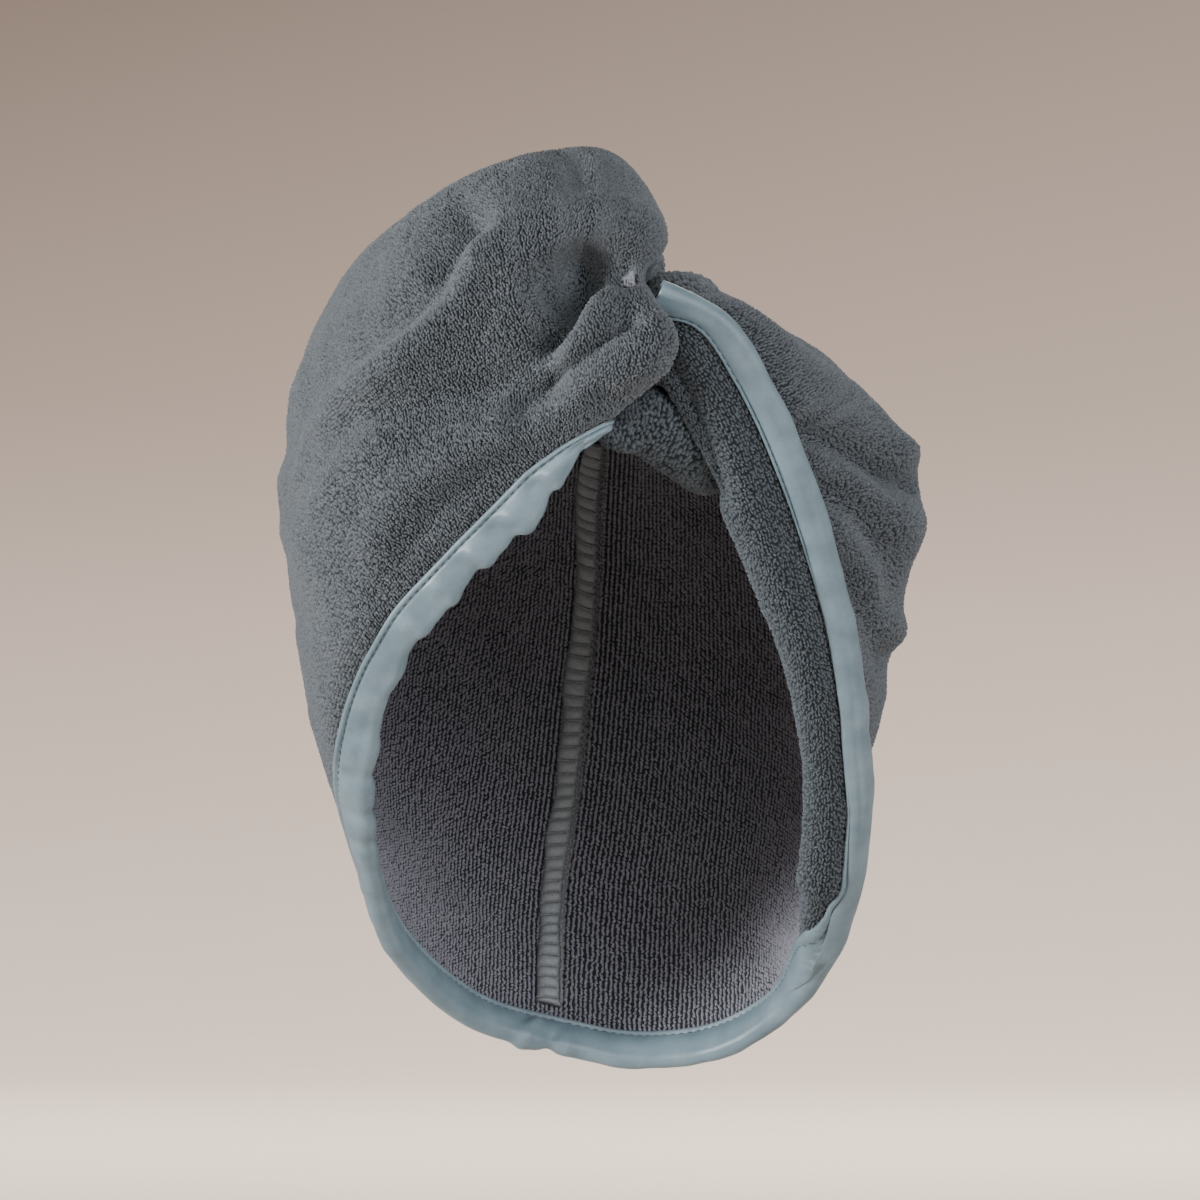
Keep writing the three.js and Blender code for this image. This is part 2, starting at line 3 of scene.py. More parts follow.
import bpy
import numpy as np
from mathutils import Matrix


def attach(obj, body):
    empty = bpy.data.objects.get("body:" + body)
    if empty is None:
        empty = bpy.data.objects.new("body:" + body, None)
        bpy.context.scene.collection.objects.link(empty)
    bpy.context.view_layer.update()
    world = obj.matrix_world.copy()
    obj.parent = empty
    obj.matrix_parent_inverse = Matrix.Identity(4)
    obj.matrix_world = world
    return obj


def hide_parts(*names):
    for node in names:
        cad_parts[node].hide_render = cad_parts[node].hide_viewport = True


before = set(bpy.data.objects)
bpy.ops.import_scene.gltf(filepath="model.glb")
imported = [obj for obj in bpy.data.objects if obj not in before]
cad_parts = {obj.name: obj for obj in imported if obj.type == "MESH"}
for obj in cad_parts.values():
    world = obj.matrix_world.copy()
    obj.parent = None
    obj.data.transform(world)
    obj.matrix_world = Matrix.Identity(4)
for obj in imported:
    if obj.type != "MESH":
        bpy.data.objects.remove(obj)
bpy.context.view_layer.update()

# Hair turban towel in cotton terry with a satin edge, twisted over the forehead.
# Metres. X to the right in the photograph, Y away from the camera, Z up; the origin is the head seat.
# The cloth's two halves repeat the shapes of the CAD source, from the same tables. A section is a line
# from the rim to the crown; its points are thousandths of the wrap's width, depth and height.
wrap = {
    "width": 0.194,
    "depth": 0.200,
    "height": 0.278,
    "seat": 0.03,  # the tables' level of the head seat
    "thickness": 0.003,
    "foldHeight": 0.006,
    "foldWidth": 0.008,
    "lumpSeed": 3,
    "lumps": ((0.032, 0.0007), (0.013, 0.00025)),  # length and height of the coarse and the fine ones
}
leftSections = {
    "tucked": [[-15, -480, -103], [12, -500, -72], [31, -515, -22], [19, -460, 32], [39, -400, 27],
        [49, -350, 27], [62, -300, 29]],
    "knotEdge": [[5, -545, -109], [55, -560, -72], [88, -585, -5], [66, -520, 44], [77, -460, 90],
        [78, -330, 115], [74, -220, 43]],
    "knot": [[-30, -545, -137], [-10, -575, -83], [11, -610, -11], [-12, -520, 53], [0, -500, 125],
        [6, -310, 184], [73, -120, 43]],
    "roll": [[-101, -510, -200], [-150, -535, -132], [-139, -540, -27], [-155, -520, 38],
        [-166, -475, 115], [-133, -200, 171], [66, -30, 39]],
    "temple": [[-209, -455, -275], [-260, -485, -205], [-302, -475, -81], [-309, -460, -16],
        [-308, -350, 62], [-254, -75, 127], [54, 40, 33]],
    "brow": [[-296, -385, -345], [-362, -410, -285], [-425, -330, -156], [-433, -250, -81],
        [-420, -100, 2], [-343, 100, 62], [42, 90, 26]],
    "ear": [[-348, -290, -421], [-416, -300, -367], [-472, -125, -254], [-489, 25, -167],
        [-464, 175, -70], [-325, 275, 16], [34, 135, 18]],
    "underEar": [[-368, -190, -502], [-426, -160, -453], [-463, 75, -351], [-440, 275, -254],
        [-340, 400, -135], [-201, 400, -49], [28, 170, 9]],
    "jaw": [[-364, -40, -583], [-388, 60, -545], [-398, 275, -459], [-332, 450, -351],
        [-216, 500, -221], [-108, 460, -103], [22, 200, 1]],
    "neckSide": [[-326, 125, -674], [-312, 225, -626], [-278, 400, -545], [-201, 525, -437],
        [-116, 550, -286], [-46, 485, -135], [18, 230, -6]],
    "neck": [[-209, 280, -752], [-193, 360, -696], [-162, 475, -610], [-108, 560, -480],
        [-54, 570, -318], [-15, 495, -151], [14, 255, -12]],
    "seam": [[-62, 350, -785], [-62, 420, -728], [-53, 510, -626], [-28, 575, -491], [-6, 580, -329],
        [8, 500, -156], [12, 275, -18]],
}
rightSections = {
    "seam": leftSections["seam"],
    "nape": [[62, 365, -800], [62, 430, -739], [59, 520, -626], [49, 580, -491], [39, 580, -329],
        [25, 500, -156], [13, 270, -16]],
    "neck": [[186, 330, -789], [178, 400, -732], [162, 500, -615], [136, 560, -480], [96, 565, -318],
        [54, 495, -151], [15, 255, -12]],
    "neckSide": [[283, 260, -751], [272, 320, -708], [260, 430, -610], [229, 520, -469],
        [162, 540, -297], [85, 480, -135], [18, 235, -7]],
    "jaw": [[342, 165, -699], [319, 180, -683], [332, 290, -621], [328, 410, -469], [247, 490, -264],
        [131, 460, -108], [22, 205, 0]],
    "underEar": [[384, 40, -624], [332, 40, -621], [368, 150, -577], [402, 250, -437], [332, 400, -221],
        [178, 410, -76], [28, 170, 9]],
    "earLow": [[409, -100, -523], [348, -70, -529], [390, 10, -496], [448, 110, -351], [402, 290, -167],
        [224, 330, -43], [35, 130, 19]],
    "ear": [[402, -215, -432], [340, -190, -428], [387, -110, -403], [476, 0, -270], [441, 175, -124],
        [255, 225, -16], [45, 80, 28]],
    "earTop": [[385, -295, -345], [308, -280, -345], [379, -210, -308], [498, -60, -189],
        [418, 50, -81], [255, 110, 3], [56, 30, 34]],
    "brow": [[354, -370, -254], [252, -355, -259], [359, -290, -210], [462, -125, -127],
        [346, -40, -51], [218, 0, 6], [65, -20, 38]],
    "temple": [[312, -430, -162], [200, -415, -178], [320, -360, -115], [394, -190, -76],
        [279, -125, -13], [175, -100, 22], [71, -80, 41]],
    "roll": [[258, -480, -76], [138, -465, -97], [276, -410, -41], [318, -260, -30], [212, -210, 10],
        [136, -190, 34], [74, -150, 43]],
    "knot": [[186, -520, 3], [80, -485, -27], [204, -440, 14], [216, -320, 21], [139, -290, 38],
        [111, -260, 46], [76, -225, 43]],
    "knotEnd": [[93, -540, 38], [62, -475, 3], [85, -440, 27], [101, -390, 38], [101, -350, 44],
        [93, -320, 46], [77, -290, 40]],
}
# Folds: height and width in shares of foldHeight and foldWidth, then a path in the front view in
# thousandths of the wrap's width and height.
leftFolds = {
    "highRidge": (1.15, 0.95, [[-189, 68], [-215, 32], [-277, -12], [-332, -44], [-402, -79],
        [-444, -113], [-469, -156], [-479, -210]]),
    "highValley": (-1.25, 0.8, [[-201, 108], [-229, 68], [-251, 29], [-309, -5], [-368, -33],
        [-425, -66], [-461, -98], [-489, -137]]),
    "midValley": (-1.0, 0.85, [[-96, -72], [-152, -70], [-229, -81], [-277, -92], [-346, -99],
        [-402, -113], [-438, -142], [-470, -200]]),
    "knotCrease": (-1.35, 0.45, [[-19, 51], [-36, 38], [-54, 13], [-74, -8], [-93, -23]]),
    "knotHollow": (-1.0, 1.0, [[-19, 51], [-36, 38], [-62, 8], [-101, -29]]),
    "lobeUnder": (-1.4, 0.62, [[39, 54], [19, 59], [-15, 64], [-46, 55], [-80, 33]]),
    "lobeBulge": (0.9, 1.2, [[62, 92], [15, 103], [-31, 100], [-85, 81], [-124, 54]]),
    "knotRoll": (0.6, 1.0, [[8, 43], [-15, 16], [-26, -11], [-59, -51]]),
    "rollCrease": (-1.4, 0.6, [[43, -3], [-5, -29], [-54, -57], [-85, -83], [-116, -98]]),
    "rollRidge": (1.15, 0.95, [[80, -22], [49, -46], [9, -64], [-26, -83], [-88, -109], [-147, -131],
        [-215, -152], [-278, -183], [-325, -232]]),
    "edgeValley": (-0.8, 0.65, [[2, -77], [-54, -109], [-124, -146], [-179, -169], [-235, -196],
        [-286, -237], [-332, -297]]),
    "edgeRidge": (0.5, 0.6, [[-26, -107], [-93, -140], [-152, -169], [-243, -218], [-309, -275],
        [-356, -340]]),
    "cheekRidge": (0.8, 1.6, [[-348, -137], [-410, -189], [-430, -254]]),
    "sideValley": (-0.5, 0.7, [[-470, -189], [-479, -254], [-470, -318]]),
    "topDip": (-0.5, 0.7, [[-68, 193], [-43, 175], [-31, 146]]),
}
rightFolds = {
    "upperOverhang": (0.6, 0.7, [[300, -93], [362, -108], [420, -130], [465, -140]]),
    "upperValley": (-1.3, 0.62, [[315, -118], [383, -139], [442, -166], [490, -172]]),
    "upperRidge": (0.8, 0.9, [[340, -150], [402, -178], [455, -215]]),
    "middleValley": (-0.85, 0.62, [[343, -178], [405, -220], [443, -260], [450, -300]]),
    "lowerRidge": (0.8, 0.9, [[363, -215], [398, -252], [425, -290], [442, -325]]),
    "lowerValley": (-0.8, 0.7, [[380, -275], [420, -325], [438, -359]]),
}
# The same for the lapel, whose inner face looks to the front.
lapelFolds = {
    "lapelRidge": (0.7, 0.75, [[139, -20], [178, -90], [222, -170], [268, -245], [306, -320],
        [342, -425], [356, -513], [350, -590]]),
    "lapelGroove": (-0.3, 0.4, [[224, -65], [278, -146], [317, -232], [343, -310], [366, -405],
        [376, -513], [366, -600], [345, -680]]),
    "lapelCrease": (-1.3, 0.45, [[85, -5], [111, -43], [139, -76], [167, -124], [190, -174]]),
}


# The points that a table's shares stand for.
def placeShares(cells):
    cells = np.array(cells, float)
    lift = np.array([0, 0, wrap["seat"]])
    return (cells - lift) * np.array([wrap["width"], wrap["depth"], wrap["height"]])


# Weights of Catmull and Rom's curve: each place t is a mix of its four neighbours, and a mirrored
# point stands before the first and after the last.
def curveWeights(count, t):
    t = np.asarray(t, float).ravel()
    cell = np.clip(np.floor(t), 0, count - 2).astype(int)
    u = t - cell
    mix = [-u + 2 * u**2 - u**3, 2 - 5 * u**2 + 3 * u**3, u + 4 * u**2 - 3 * u**3, u**3 - u**2]
    weights = np.zeros((t.size, count + 2))
    for k, share in enumerate(mix):
        weights[np.arange(t.size), cell + k] = 0.5 * share
    inner = weights[:, 1:-1].copy()
    inner[:, 0] += 2 * weights[:, 0]
    inner[:, 1] -= weights[:, 0]
    inner[:, -1] += 2 * weights[:, -1]
    inner[:, -2] -= weights[:, -1]
    return inner


# A point of a table's surface: the curve weights of its section times those of its column.
def tablePoint(rows, s, t):
    across = curveWeights(rows.shape[0], s)
    down = curveWeights(rows.shape[1], t)
    return np.einsum("ni,ijc,nj->nc", across, rows, down, optimize=True)


# A vector over its own length.
def unit(v):
    return v / np.maximum(np.linalg.norm(v, axis=-1, keepdims=True), 1e-12)


# The normal is the cross product of the steps down and across.
def surfaceNormal(pointAt, s, t, h=0.02):
    ds = pointAt(s + h, t) - pointAt(s - h, t)
    dt = pointAt(s, t + h) - pointAt(s, t - h)
    return unit(np.cross(dt, ds))


# The shortest distance from points of the front view to a path of straight lines.
def pathDistance(path, x, z):
    nearest = np.full(x.shape, 9.0)
    for (ax, az), (bx, bz) in zip(path[:-1], path[1:]):
        length2 = (bx - ax) ** 2 + (bz - az) ** 2
        u = np.clip(((x - ax) * (bx - ax) + (z - az) * (bz - az)) / length2, 0, 1)
        nearest = np.minimum(nearest, np.hypot(x - ax - u * (bx - ax), z - az - u * (bz - az)))
    return nearest


# Even lumps: a sum of plane waves in chosen directions, about one high at most.
def lumps(points, length, seed, count=14):
    rng = np.random.default_rng(seed)
    turn = unit(rng.normal(size=(count, 3))) * (2 * math.pi / length)
    turn *= rng.uniform(0.7, 1.5, (count, 1))
    phase = rng.uniform(0, 2 * math.pi, count)
    return np.sin(points @ turn.T + phase).sum(axis=-1) / math.sqrt(2 * count) * 0.8


# The distance gone along lines of points, from nought.
def distanceAlong(points, axis=0):
    steps = np.linalg.norm(np.diff(points, axis=axis), axis=-1)
    return np.concatenate([np.zeros_like(np.take(steps, [0], axis)), np.cumsum(steps, axis)], axis)


# A half of the hood: the table's surface plus its folds, which are bell curves across paths of the
# front view, on cloth that faces the front (turnedFolds: whose inner face does), and small lumps
# everywhere. All of them fade out towards the rim.
def makePanel(sections, folds, turnedFolds, before, after):
    tables = before + list(sections.values()) + after
    rows = np.array([placeShares(np.array(cells) / 1000) for cells in tables])
    first = len(before)
    scale = np.array([wrap["width"], wrap["height"]])
    paths = [(h, w, (np.array(p) / 1000 - [0, wrap["seat"]]) * scale, turned)
             for group, turned in ((folds, False), (turnedFolds, True)) for h, w, p in group.values()]

    def base(s, t):
        return tablePoint(rows, s + first, t)

    def pointAt(s, t):
        point = base(s, t)
        normal = surfaceNormal(base, s, t)
        facing = np.clip(-normal[:, 1] * 2.5 + 0.5, 0, 1)
        turnedIn = np.clip(normal[:, 1] * 2.5 + 0.5, 0, 1) * np.clip(3 * (1.25 - t), 0, 1)
        height = np.zeros(len(point))
        for h, w, path, turned in paths:
            gap = pathDistance(path, point[:, 0], point[:, 2])
            bell = h * wrap["foldHeight"] * np.exp(-((gap / (w * wrap["foldWidth"])) ** 2))
            height += -bell * turnedIn if turned else bell * facing
        lumpRest = np.clip(t / 1.2 - 0.2, 0, 1)
        foldRest = np.clip((t - 0.1) / 0.5, 0, 1) if turnedFolds else lumpRest
        lump = sum(lumps(point, length, wrap["lumpSeed"] + k) * high
                   for k, (length, high) in enumerate(wrap["lumps"]))
        return point + normal * (height * foldRest + lump * lumpRest)[:, None]

    return pointAt


# The surface as a grid of points and of normals, for the pieces that lie on it.
def makeGrid(pointAt, sPlaces, tPlaces):
    s, t = np.meshgrid(sPlaces, tPlaces, indexing="ij")
    shape = s.shape + (3,)
    points = pointAt(s.ravel(), t.ravel()).reshape(shape)
    normals = unit(np.cross(np.gradient(points, axis=1), np.gradient(points, axis=0)))
    return {"s": sPlaces, "t": tPlaces, "points": points, "normals": normals}


# A value between the corners of a grid's cell, by the shares of both sides.
def between(values, a, b):
    i = np.clip(np.floor(a).astype(int), 0, values.shape[0] - 2)
    j = np.clip(np.floor(b).astype(int), 0, values.shape[1] - 2)
    u = (a - i)[:, None]
    v = (b - j)[:, None]
    near = values[i, j] * (1 - v) + values[i, j + 1] * v
    far = values[i + 1, j] * (1 - v) + values[i + 1, j + 1] * v
    return near * (1 - u) + far * u


# Lines at equal real distances from a grid's first column, with a place every pitch along each, moved
# a little at random. Gives the places in grid steps.
def evenPlaces(points, rule, start):
    rng = np.random.default_rng(rule["seed"])
    wobble, across = rule["wobble"], rule["across"]
    gone = distanceAlong(points, 1)
    meanStep = np.linalg.norm(np.diff(points, axis=1), axis=2).mean()
    column = np.arange(points.shape[1])
    lines = np.arange(start, gone[:, -1].max(), across)
    places = np.array([np.interp(lines, row, column, right=-1) for row in gone])
    found = []
    for k in range(len(lines)):
        on = np.flatnonzero(places[:, k] >= 0)
        if len(on) < 2:
            continue
        curve = between(points, on.astype(float), places[on, k])
        leap = np.linalg.norm(np.diff(curve, axis=0), axis=1)
        leap[np.diff(on) > 1] = 0
        length = np.concatenate([[0], np.cumsum(leap)])
        count = int(length[-1] / rule["along"])
        if count < 1:
            continue
        at = (np.arange(count) + 0.5 + rng.uniform(-wobble, wobble, count)) * rule["along"]
        a = np.interp(at, length, on)
        b = np.interp(at, length, places[on, k])
        b = b + rng.uniform(-wobble, wobble, count) * across / meanStep
        found.append(np.stack([a, b]))
    a, b = np.concatenate(found, axis=1)
    return a, np.clip(b, 0, points.shape[1] - 1.001)


# Puts points and faces of three or four corners into a mesh, with smooth shading.
def makePiece(name, points, faces, material, attributes=None, uv=None):
    mesh = bpy.data.meshes.new(name)
    faces = [np.asarray(part, np.int32) for part in faces]
    corners = np.concatenate([part.ravel() for part in faces])
    sizes = np.concatenate([np.full(len(part), part.shape[1]) for part in faces])
    mesh.vertices.add(len(points))
    mesh.vertices.foreach_set("co", np.asarray(points, np.float32).ravel())
    mesh.loops.add(len(corners))
    mesh.loops.foreach_set("vertex_index", corners)
    mesh.polygons.add(len(sizes))
    mesh.polygons.foreach_set("loop_start", np.concatenate([[0], np.cumsum(sizes)[:-1]]).astype(np.int32))
    mesh.polygons.foreach_set("use_smooth", np.ones(len(sizes), bool))
    mesh.update(calc_edges=True)
    for label, values in (attributes or {}).items():
        layer = mesh.attributes.new(label, "FLOAT", "POINT")
        layer.data.foreach_set("value", np.asarray(values, np.float32).ravel())
    if uv is not None:
        layer = mesh.uv_layers.new(name="UVMap")
        layer.data.foreach_set("uv", np.asarray(uv, np.float32)[corners].ravel())
    mesh.materials.append(material)
    piece = bpy.data.objects.new(name, mesh)
    bpy.context.scene.collection.objects.link(piece)
    return piece


# The quads of a grid of rows and columns; wrapped joins the last column to the first.
def gridFaces(rows, columns, wrapped=False, start=0):
    i = np.arange(rows - 1)[:, None]
    j = np.arange(columns if wrapped else columns - 1)[None, :]
    k = (j + 1) % columns
    quads = np.stack([i * columns + j, (i + 1) * columns + j, (i + 1) * columns + k, i * columns + k], -1)
    return quads.reshape(-1, 4) + start


# Turns the faces over where the mesh's volume comes out below nothing.
def outwards(points, faces):
    volume = 0.0
    for part in faces:
        a, b = points[part[:, 0]], points[part[:, 1]]
        for k in range(2, part.shape[1]):
            c = points[part[:, k]]
            volume += np.einsum("nc,nc->n", a, np.cross(b, c)).sum()
            b = c
    return faces if volume > 0 else [part[:, ::-1] for part in faces]


# A closed sheet: an outer and an inner grid, joined round their edges.
def sheetFaces(rows, columns):
    back = rows * columns
    outer = gridFaces(rows, columns)
    inner = gridFaces(rows, columns, start=back)[:, ::-1]
    rim = np.concatenate([
        np.arange(rows - 1) * columns,
        (rows - 1) * columns + np.arange(columns - 1),
        np.arange(rows - 1, 0, -1) * columns + columns - 1,
        np.arange(columns - 1, 0, -1),
    ])
    ahead = np.roll(rim, -1)
    edge = np.stack([rim, back + rim, back + ahead, ahead], -1)
    return [np.concatenate([outer, inner, edge])]


# Triangles that close both ends of a row of rings; the two end points come after all the rings.
def endFans(rings, sides):
    j = np.arange(sides)
    k = (j + 1) % sides
    tip = np.full(sides, rings * sides)
    near = np.stack([tip, j, k], -1)
    return np.concatenate([near, np.stack([tip + 1, tip - sides + k, tip - sides + j], -1)])


# A piece from rings of points, closed at both ends by the middles of the end rings.
def makeRings(name, points, material):
    rings, sides = points.shape[:2]
    whole = np.concatenate([points.reshape(-1, 3), [points[0].mean(axis=0), points[-1].mean(axis=0)]])
    faces = [gridFaces(rings, sides, True), endFans(rings, sides)]
    return makePiece(name, whole, outwards(whole, faces), material)


# Tells the frame how a piece moves (all ride the body), and hides the CAD piece it stands for.
def declare(piece, node=None):
    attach(piece, "root")
    if node:
        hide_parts(node)
    return piece


# Closed tubes along many short paths at once: rings square to the path, closed by a point at each end.
def tubes(paths, radius, sides):
    paths = np.asarray(paths, float)
    count, length, _ = paths.shape
    radius = np.broadcast_to(np.asarray(radius, float), (count, length))
    forward = unit(np.gradient(paths, axis=1))
    helper = np.where(np.abs(forward[..., 2:3]) > 0.8, [1.0, 0, 0], [0, 0, 1.0])
    side = unit(np.cross(forward, helper))
    up = np.cross(side, forward)
    angle = 2 * math.pi * np.arange(sides) / sides
    ring = (side[:, :, None] * np.cos(angle)[:, None] + up[:, :, None] * np.sin(angle)[:, None])
    body = paths[:, :, None] + ring * radius[:, :, None, None]
    size = length * sides + 2
    points = np.concatenate([body.reshape(count, -1, 3), paths[:, :1], paths[:, -1:]], axis=1)
    shift = (np.arange(count) * size)[:, None, None]
    points = points.reshape(-1, 3)
    faces = [(gridFaces(length, sides, True) + shift).reshape(-1, 4),
             (endFans(length, sides) + shift).reshape(-1, 3)]
    return points, outwards(points, faces)


loopShape = {"turn": 0.35, "lean": 0.25, "sunk": 0.00025, "topShare": 0.45}
loopPattern = np.array([[0, 1, 5], [0, 5, 4], [1, 2, 5], [2, 3, 4], [2, 4, 5], [3, 0, 4]])


# Terry loops: each is a low ridge of four foot points and two top points, with six faces. It stands on
# its base, turned, stretched and tilted by its own random shares.
def loopMesh(base, normal, along, rule, seed):
    rng = np.random.default_rng(seed)
    count = len(base)
    along = unit(along - normal * np.einsum("nc,nc->n", along, normal)[:, None])
    aside = np.cross(normal, along)
    turn = rng.normal(0, loopShape["turn"], count)[:, None]
    along, aside = (along * np.cos(turn) + aside * np.sin(turn),
                    aside * np.cos(turn) - along * np.sin(turn))
    grow = rng.uniform(0.8, 1.25, (count, 3))
    reach = along * (0.5 * rule["length"] * grow[:, :1])
    broad = aside * (0.5 * rule["width"] * grow[:, 1:2])
    rise = normal * (rule["height"] * grow[:, 2:])
    tilt = rng.normal(0, loopShape["lean"], (count, 2)) * rule["height"]
    top = base + rise + along * tilt[:, :1] + aside * tilt[:, 1:]
    foot = base - normal * loopShape["sunk"]
    points = np.stack([foot - reach - broad, foot + reach - broad, foot + reach + broad,
                       foot - reach + broad, top - reach * loopShape["topShare"],
                       top + reach * loopShape["topShare"]], axis=1)
    faces = (loopPattern[None] + 6 * np.arange(count)[:, None, None]).reshape(-1, 3)
    tip = np.tile([0.0, 0, 0, 0, 1, 1], count)
    tone = np.repeat(rng.uniform(0, 1, count), 6)
    return points.reshape(-1, 3), faces, {"tip": tip, "tone": tone}


# sRGB hex to the linear colour that Blender works in.
def linearColour(hexText):
    value = np.array([int(hexText[k:k + 2], 16) for k in (1, 3, 5)]) / 255
    linear = np.where(value <= 0.04045, value / 12.92, ((value + 0.055) / 1.055) ** 2.4)
    return (*linear, 1.0)


# Adds a node with its own settings and gives back one of its results. Each input is linked to another
# node's result or given a value; a text is a colour in sRGB hex. A noise's scale is 1000 over its
# patches' size in millimetres. A range's inputs 1 to 4 are its ends before and after, and a mix's inputs
# 0, 6 and 7 are the share and the two colours.
def addNode(tree, kind, inputs, result=0, **settings):
    node = tree.nodes.new(kind)
    for key, value in settings.items():
        setattr(node, key, value)
    for key, value in inputs.items():
        if isinstance(value, bpy.types.NodeSocket):
            tree.links.new(value, node.inputs[key])
        else:
            node.inputs[key].default_value = linearColour(value) if isinstance(value, str) else value
    return node.outputs[result] if node.outputs else None


# An empty material, its tree, and the place on the object that its patterns are drawn by.
def newMaterial(name):
    material = bpy.data.materials.new(name)
    material.use_nodes = True
    tree = material.node_tree
    tree.nodes.clear()
    return material, tree, addNode(tree, "ShaderNodeTexCoord", {}, "Object")


# Ends a material: its surface with these inputs, joined to the output.
def finishMaterial(material, inputs):
    tree = material.node_tree
    shader = addNode(tree, "ShaderNodeBsdfPrincipled", inputs)
    addNode(tree, "ShaderNodeOutputMaterial", {"Surface": shader})
    return material


# Cotton terry, ring-spun and knitted with uncut loops: matt, with a soft bright edge from its fibres
# and painted shade in the gaps between the loops: the foot colour is a shade painted at each loop's foot.
# "tip" is 1 at a loop's top, "tone" differs from loop to loop.
def terryMaterial(name, colours, sheen):
    material, tree, place = newMaterial(name)
    tip = addNode(tree, "ShaderNodeAttribute", {}, "Fac", attribute_name="tip")
    tip = addNode(tree, "ShaderNodeMapRange", {0: tip, 2: 0.9})
    tone = addNode(tree, "ShaderNodeAttribute", {}, "Fac", attribute_name="tone")
    tone = addNode(tree, "ShaderNodeMapRange", {0: tone, 3: 0.1, 4: 0.9})
    cloud = addNode(tree, "ShaderNodeTexNoise", {"Vector": place, "Scale": 1000 / 24, "Detail": 3.0})
    cloud = addNode(tree, "ShaderNodeMapRange", {0: cloud, 1: 0.35, 2: 0.65, 4: 0.45})
    fibre = addNode(tree, "ShaderNodeTexNoise", {"Vector": place, "Scale": 1000 / 0.8})
    fibre = addNode(tree, "ShaderNodeMapRange", {0: fibre, 1: 0.3, 2: 0.7, 4: 0.25})
    loop = addNode(tree, "ShaderNodeMix", {0: tone, 6: colours["deep"], 7: colours["pale"]}, 2,
                   data_type="RGBA")
    loop = addNode(tree, "ShaderNodeMix", {0: cloud, 6: loop, 7: colours["cloud"]}, 2, data_type="RGBA")
    # Fine noise mixes up to a quarter of the painted foot shade into the loops.
    loop = addNode(tree, "ShaderNodeMix", {0: fibre, 6: loop, 7: colours["foot"]}, 2, data_type="RGBA")
    # Painted shade: towards each loop's foot, and where there is no tip value, the colour goes to the foot's
    # shade colour.
    loop = addNode(tree, "ShaderNodeMix", {0: tip, 6: colours["foot"], 7: loop}, 2, data_type="RGBA")
    fuzz = addNode(tree, "ShaderNodeTexNoise", {"Vector": place, "Scale": 1000 / 0.7})
    fuzz = addNode(tree, "ShaderNodeBump", {"Height": fuzz, "Strength": 0.5, "Distance": 0.0003})
    return finishMaterial(material, {
        "Base Color": loop, "Roughness": 0.95, "Sheen Weight": sheen, "Sheen Roughness": 0.55,
        "Sheen Tint": colours["sheen"], "Specular IOR Level": 0.15, "Normal": fuzz})


# Polyester satin, woven with long floats and pressed: pale, smooth, with a soft gloss along its threads.
# Its threads are 0.1 mm apart, too fine to show, so the grain is drawn 1.1 mm long and a quarter as wide.
def satinMaterial(name, colours):
    material, tree, place = newMaterial(name)
    threads = addNode(tree, "ShaderNodeUVMap", {}, uv_map="UVMap")
    threads = addNode(tree, "ShaderNodeMapping", {"Vector": threads, "Scale": (1.0, 4.0, 1.0)})
    grain = addNode(tree, "ShaderNodeTexNoise", {"Vector": threads, "Scale": 1000 / 1.1, "Detail": 3.0,
                                                 "Roughness": 0.6})
    share = addNode(tree, "ShaderNodeMapRange", {0: grain, 1: 0.35, 2: 0.65, 4: 0.35})
    cloud = addNode(tree, "ShaderNodeTexNoise", {"Vector": place, "Scale": 1000 / 9, "Detail": 3.0})
    cloud = addNode(tree, "ShaderNodeMapRange", {0: cloud, 1: 0.3, 2: 0.7})
    colour = addNode(tree, "ShaderNodeMix", {0: cloud, 6: colours["deep"], 7: colours["pale"]}, 2,
                     data_type="RGBA")
    colour = addNode(tree, "ShaderNodeMix", {0: share, 6: colour, 7: colours["grain"]}, 2,
                     data_type="RGBA")
    relief = addNode(tree, "ShaderNodeBump", {"Height": grain, "Strength": 0.25, "Distance": 0.0002})
    return finishMaterial(material, {
        "Base Color": colour, "Roughness": 0.38, "Anisotropic": 0.5, "Sheen Weight": 0.15,
        "Sheen Roughness": 0.3, "Specular IOR Level": 0.5, "Normal": relief})


# Spun polyester thread: matt, a little paler where its twist catches the light.
def threadMaterial(name, colours):
    material, tree, place = newMaterial(name)
    twist = addNode(tree, "ShaderNodeTexNoise", {"Vector": place, "Scale": 1000 / 0.6})
    twist = addNode(tree, "ShaderNodeMapRange", {0: twist, 1: 0.35, 2: 0.65})
    colour = addNode(tree, "ShaderNodeMix", {0: twist, 6: colours["deep"], 7: colours["pale"]}, 2,
                     data_type="RGBA")
    return finishMaterial(material, {"Base Color": colour, "Roughness": 0.75, "Sheen Weight": 0.2,
                                     "Specular IOR Level": 0.3})


# Moulded nylon: a low gloss with a faint mould texture.
def buttonMaterial(name, colours):
    material, tree, place = newMaterial(name)
    cloud = addNode(tree, "ShaderNodeTexNoise", {"Vector": place, "Scale": 1000 / 4, "Detail": 3.0})
    cloud = addNode(tree, "ShaderNodeMapRange", {0: cloud, 1: 0.3, 2: 0.7})
    colour = addNode(tree, "ShaderNodeMix", {0: cloud, 6: colours["deep"], 7: colours["pale"]}, 2,
                     data_type="RGBA")
    grit = addNode(tree, "ShaderNodeTexNoise", {"Vector": place, "Scale": 1000 / 0.5})
    grit = addNode(tree, "ShaderNodeBump", {"Height": grit, "Strength": 0.2, "Distance": 0.0001})
    return finishMaterial(material, {"Base Color": colour, "Roughness": 0.4, "Specular IOR Level": 0.4,
                                     "Normal": grit})
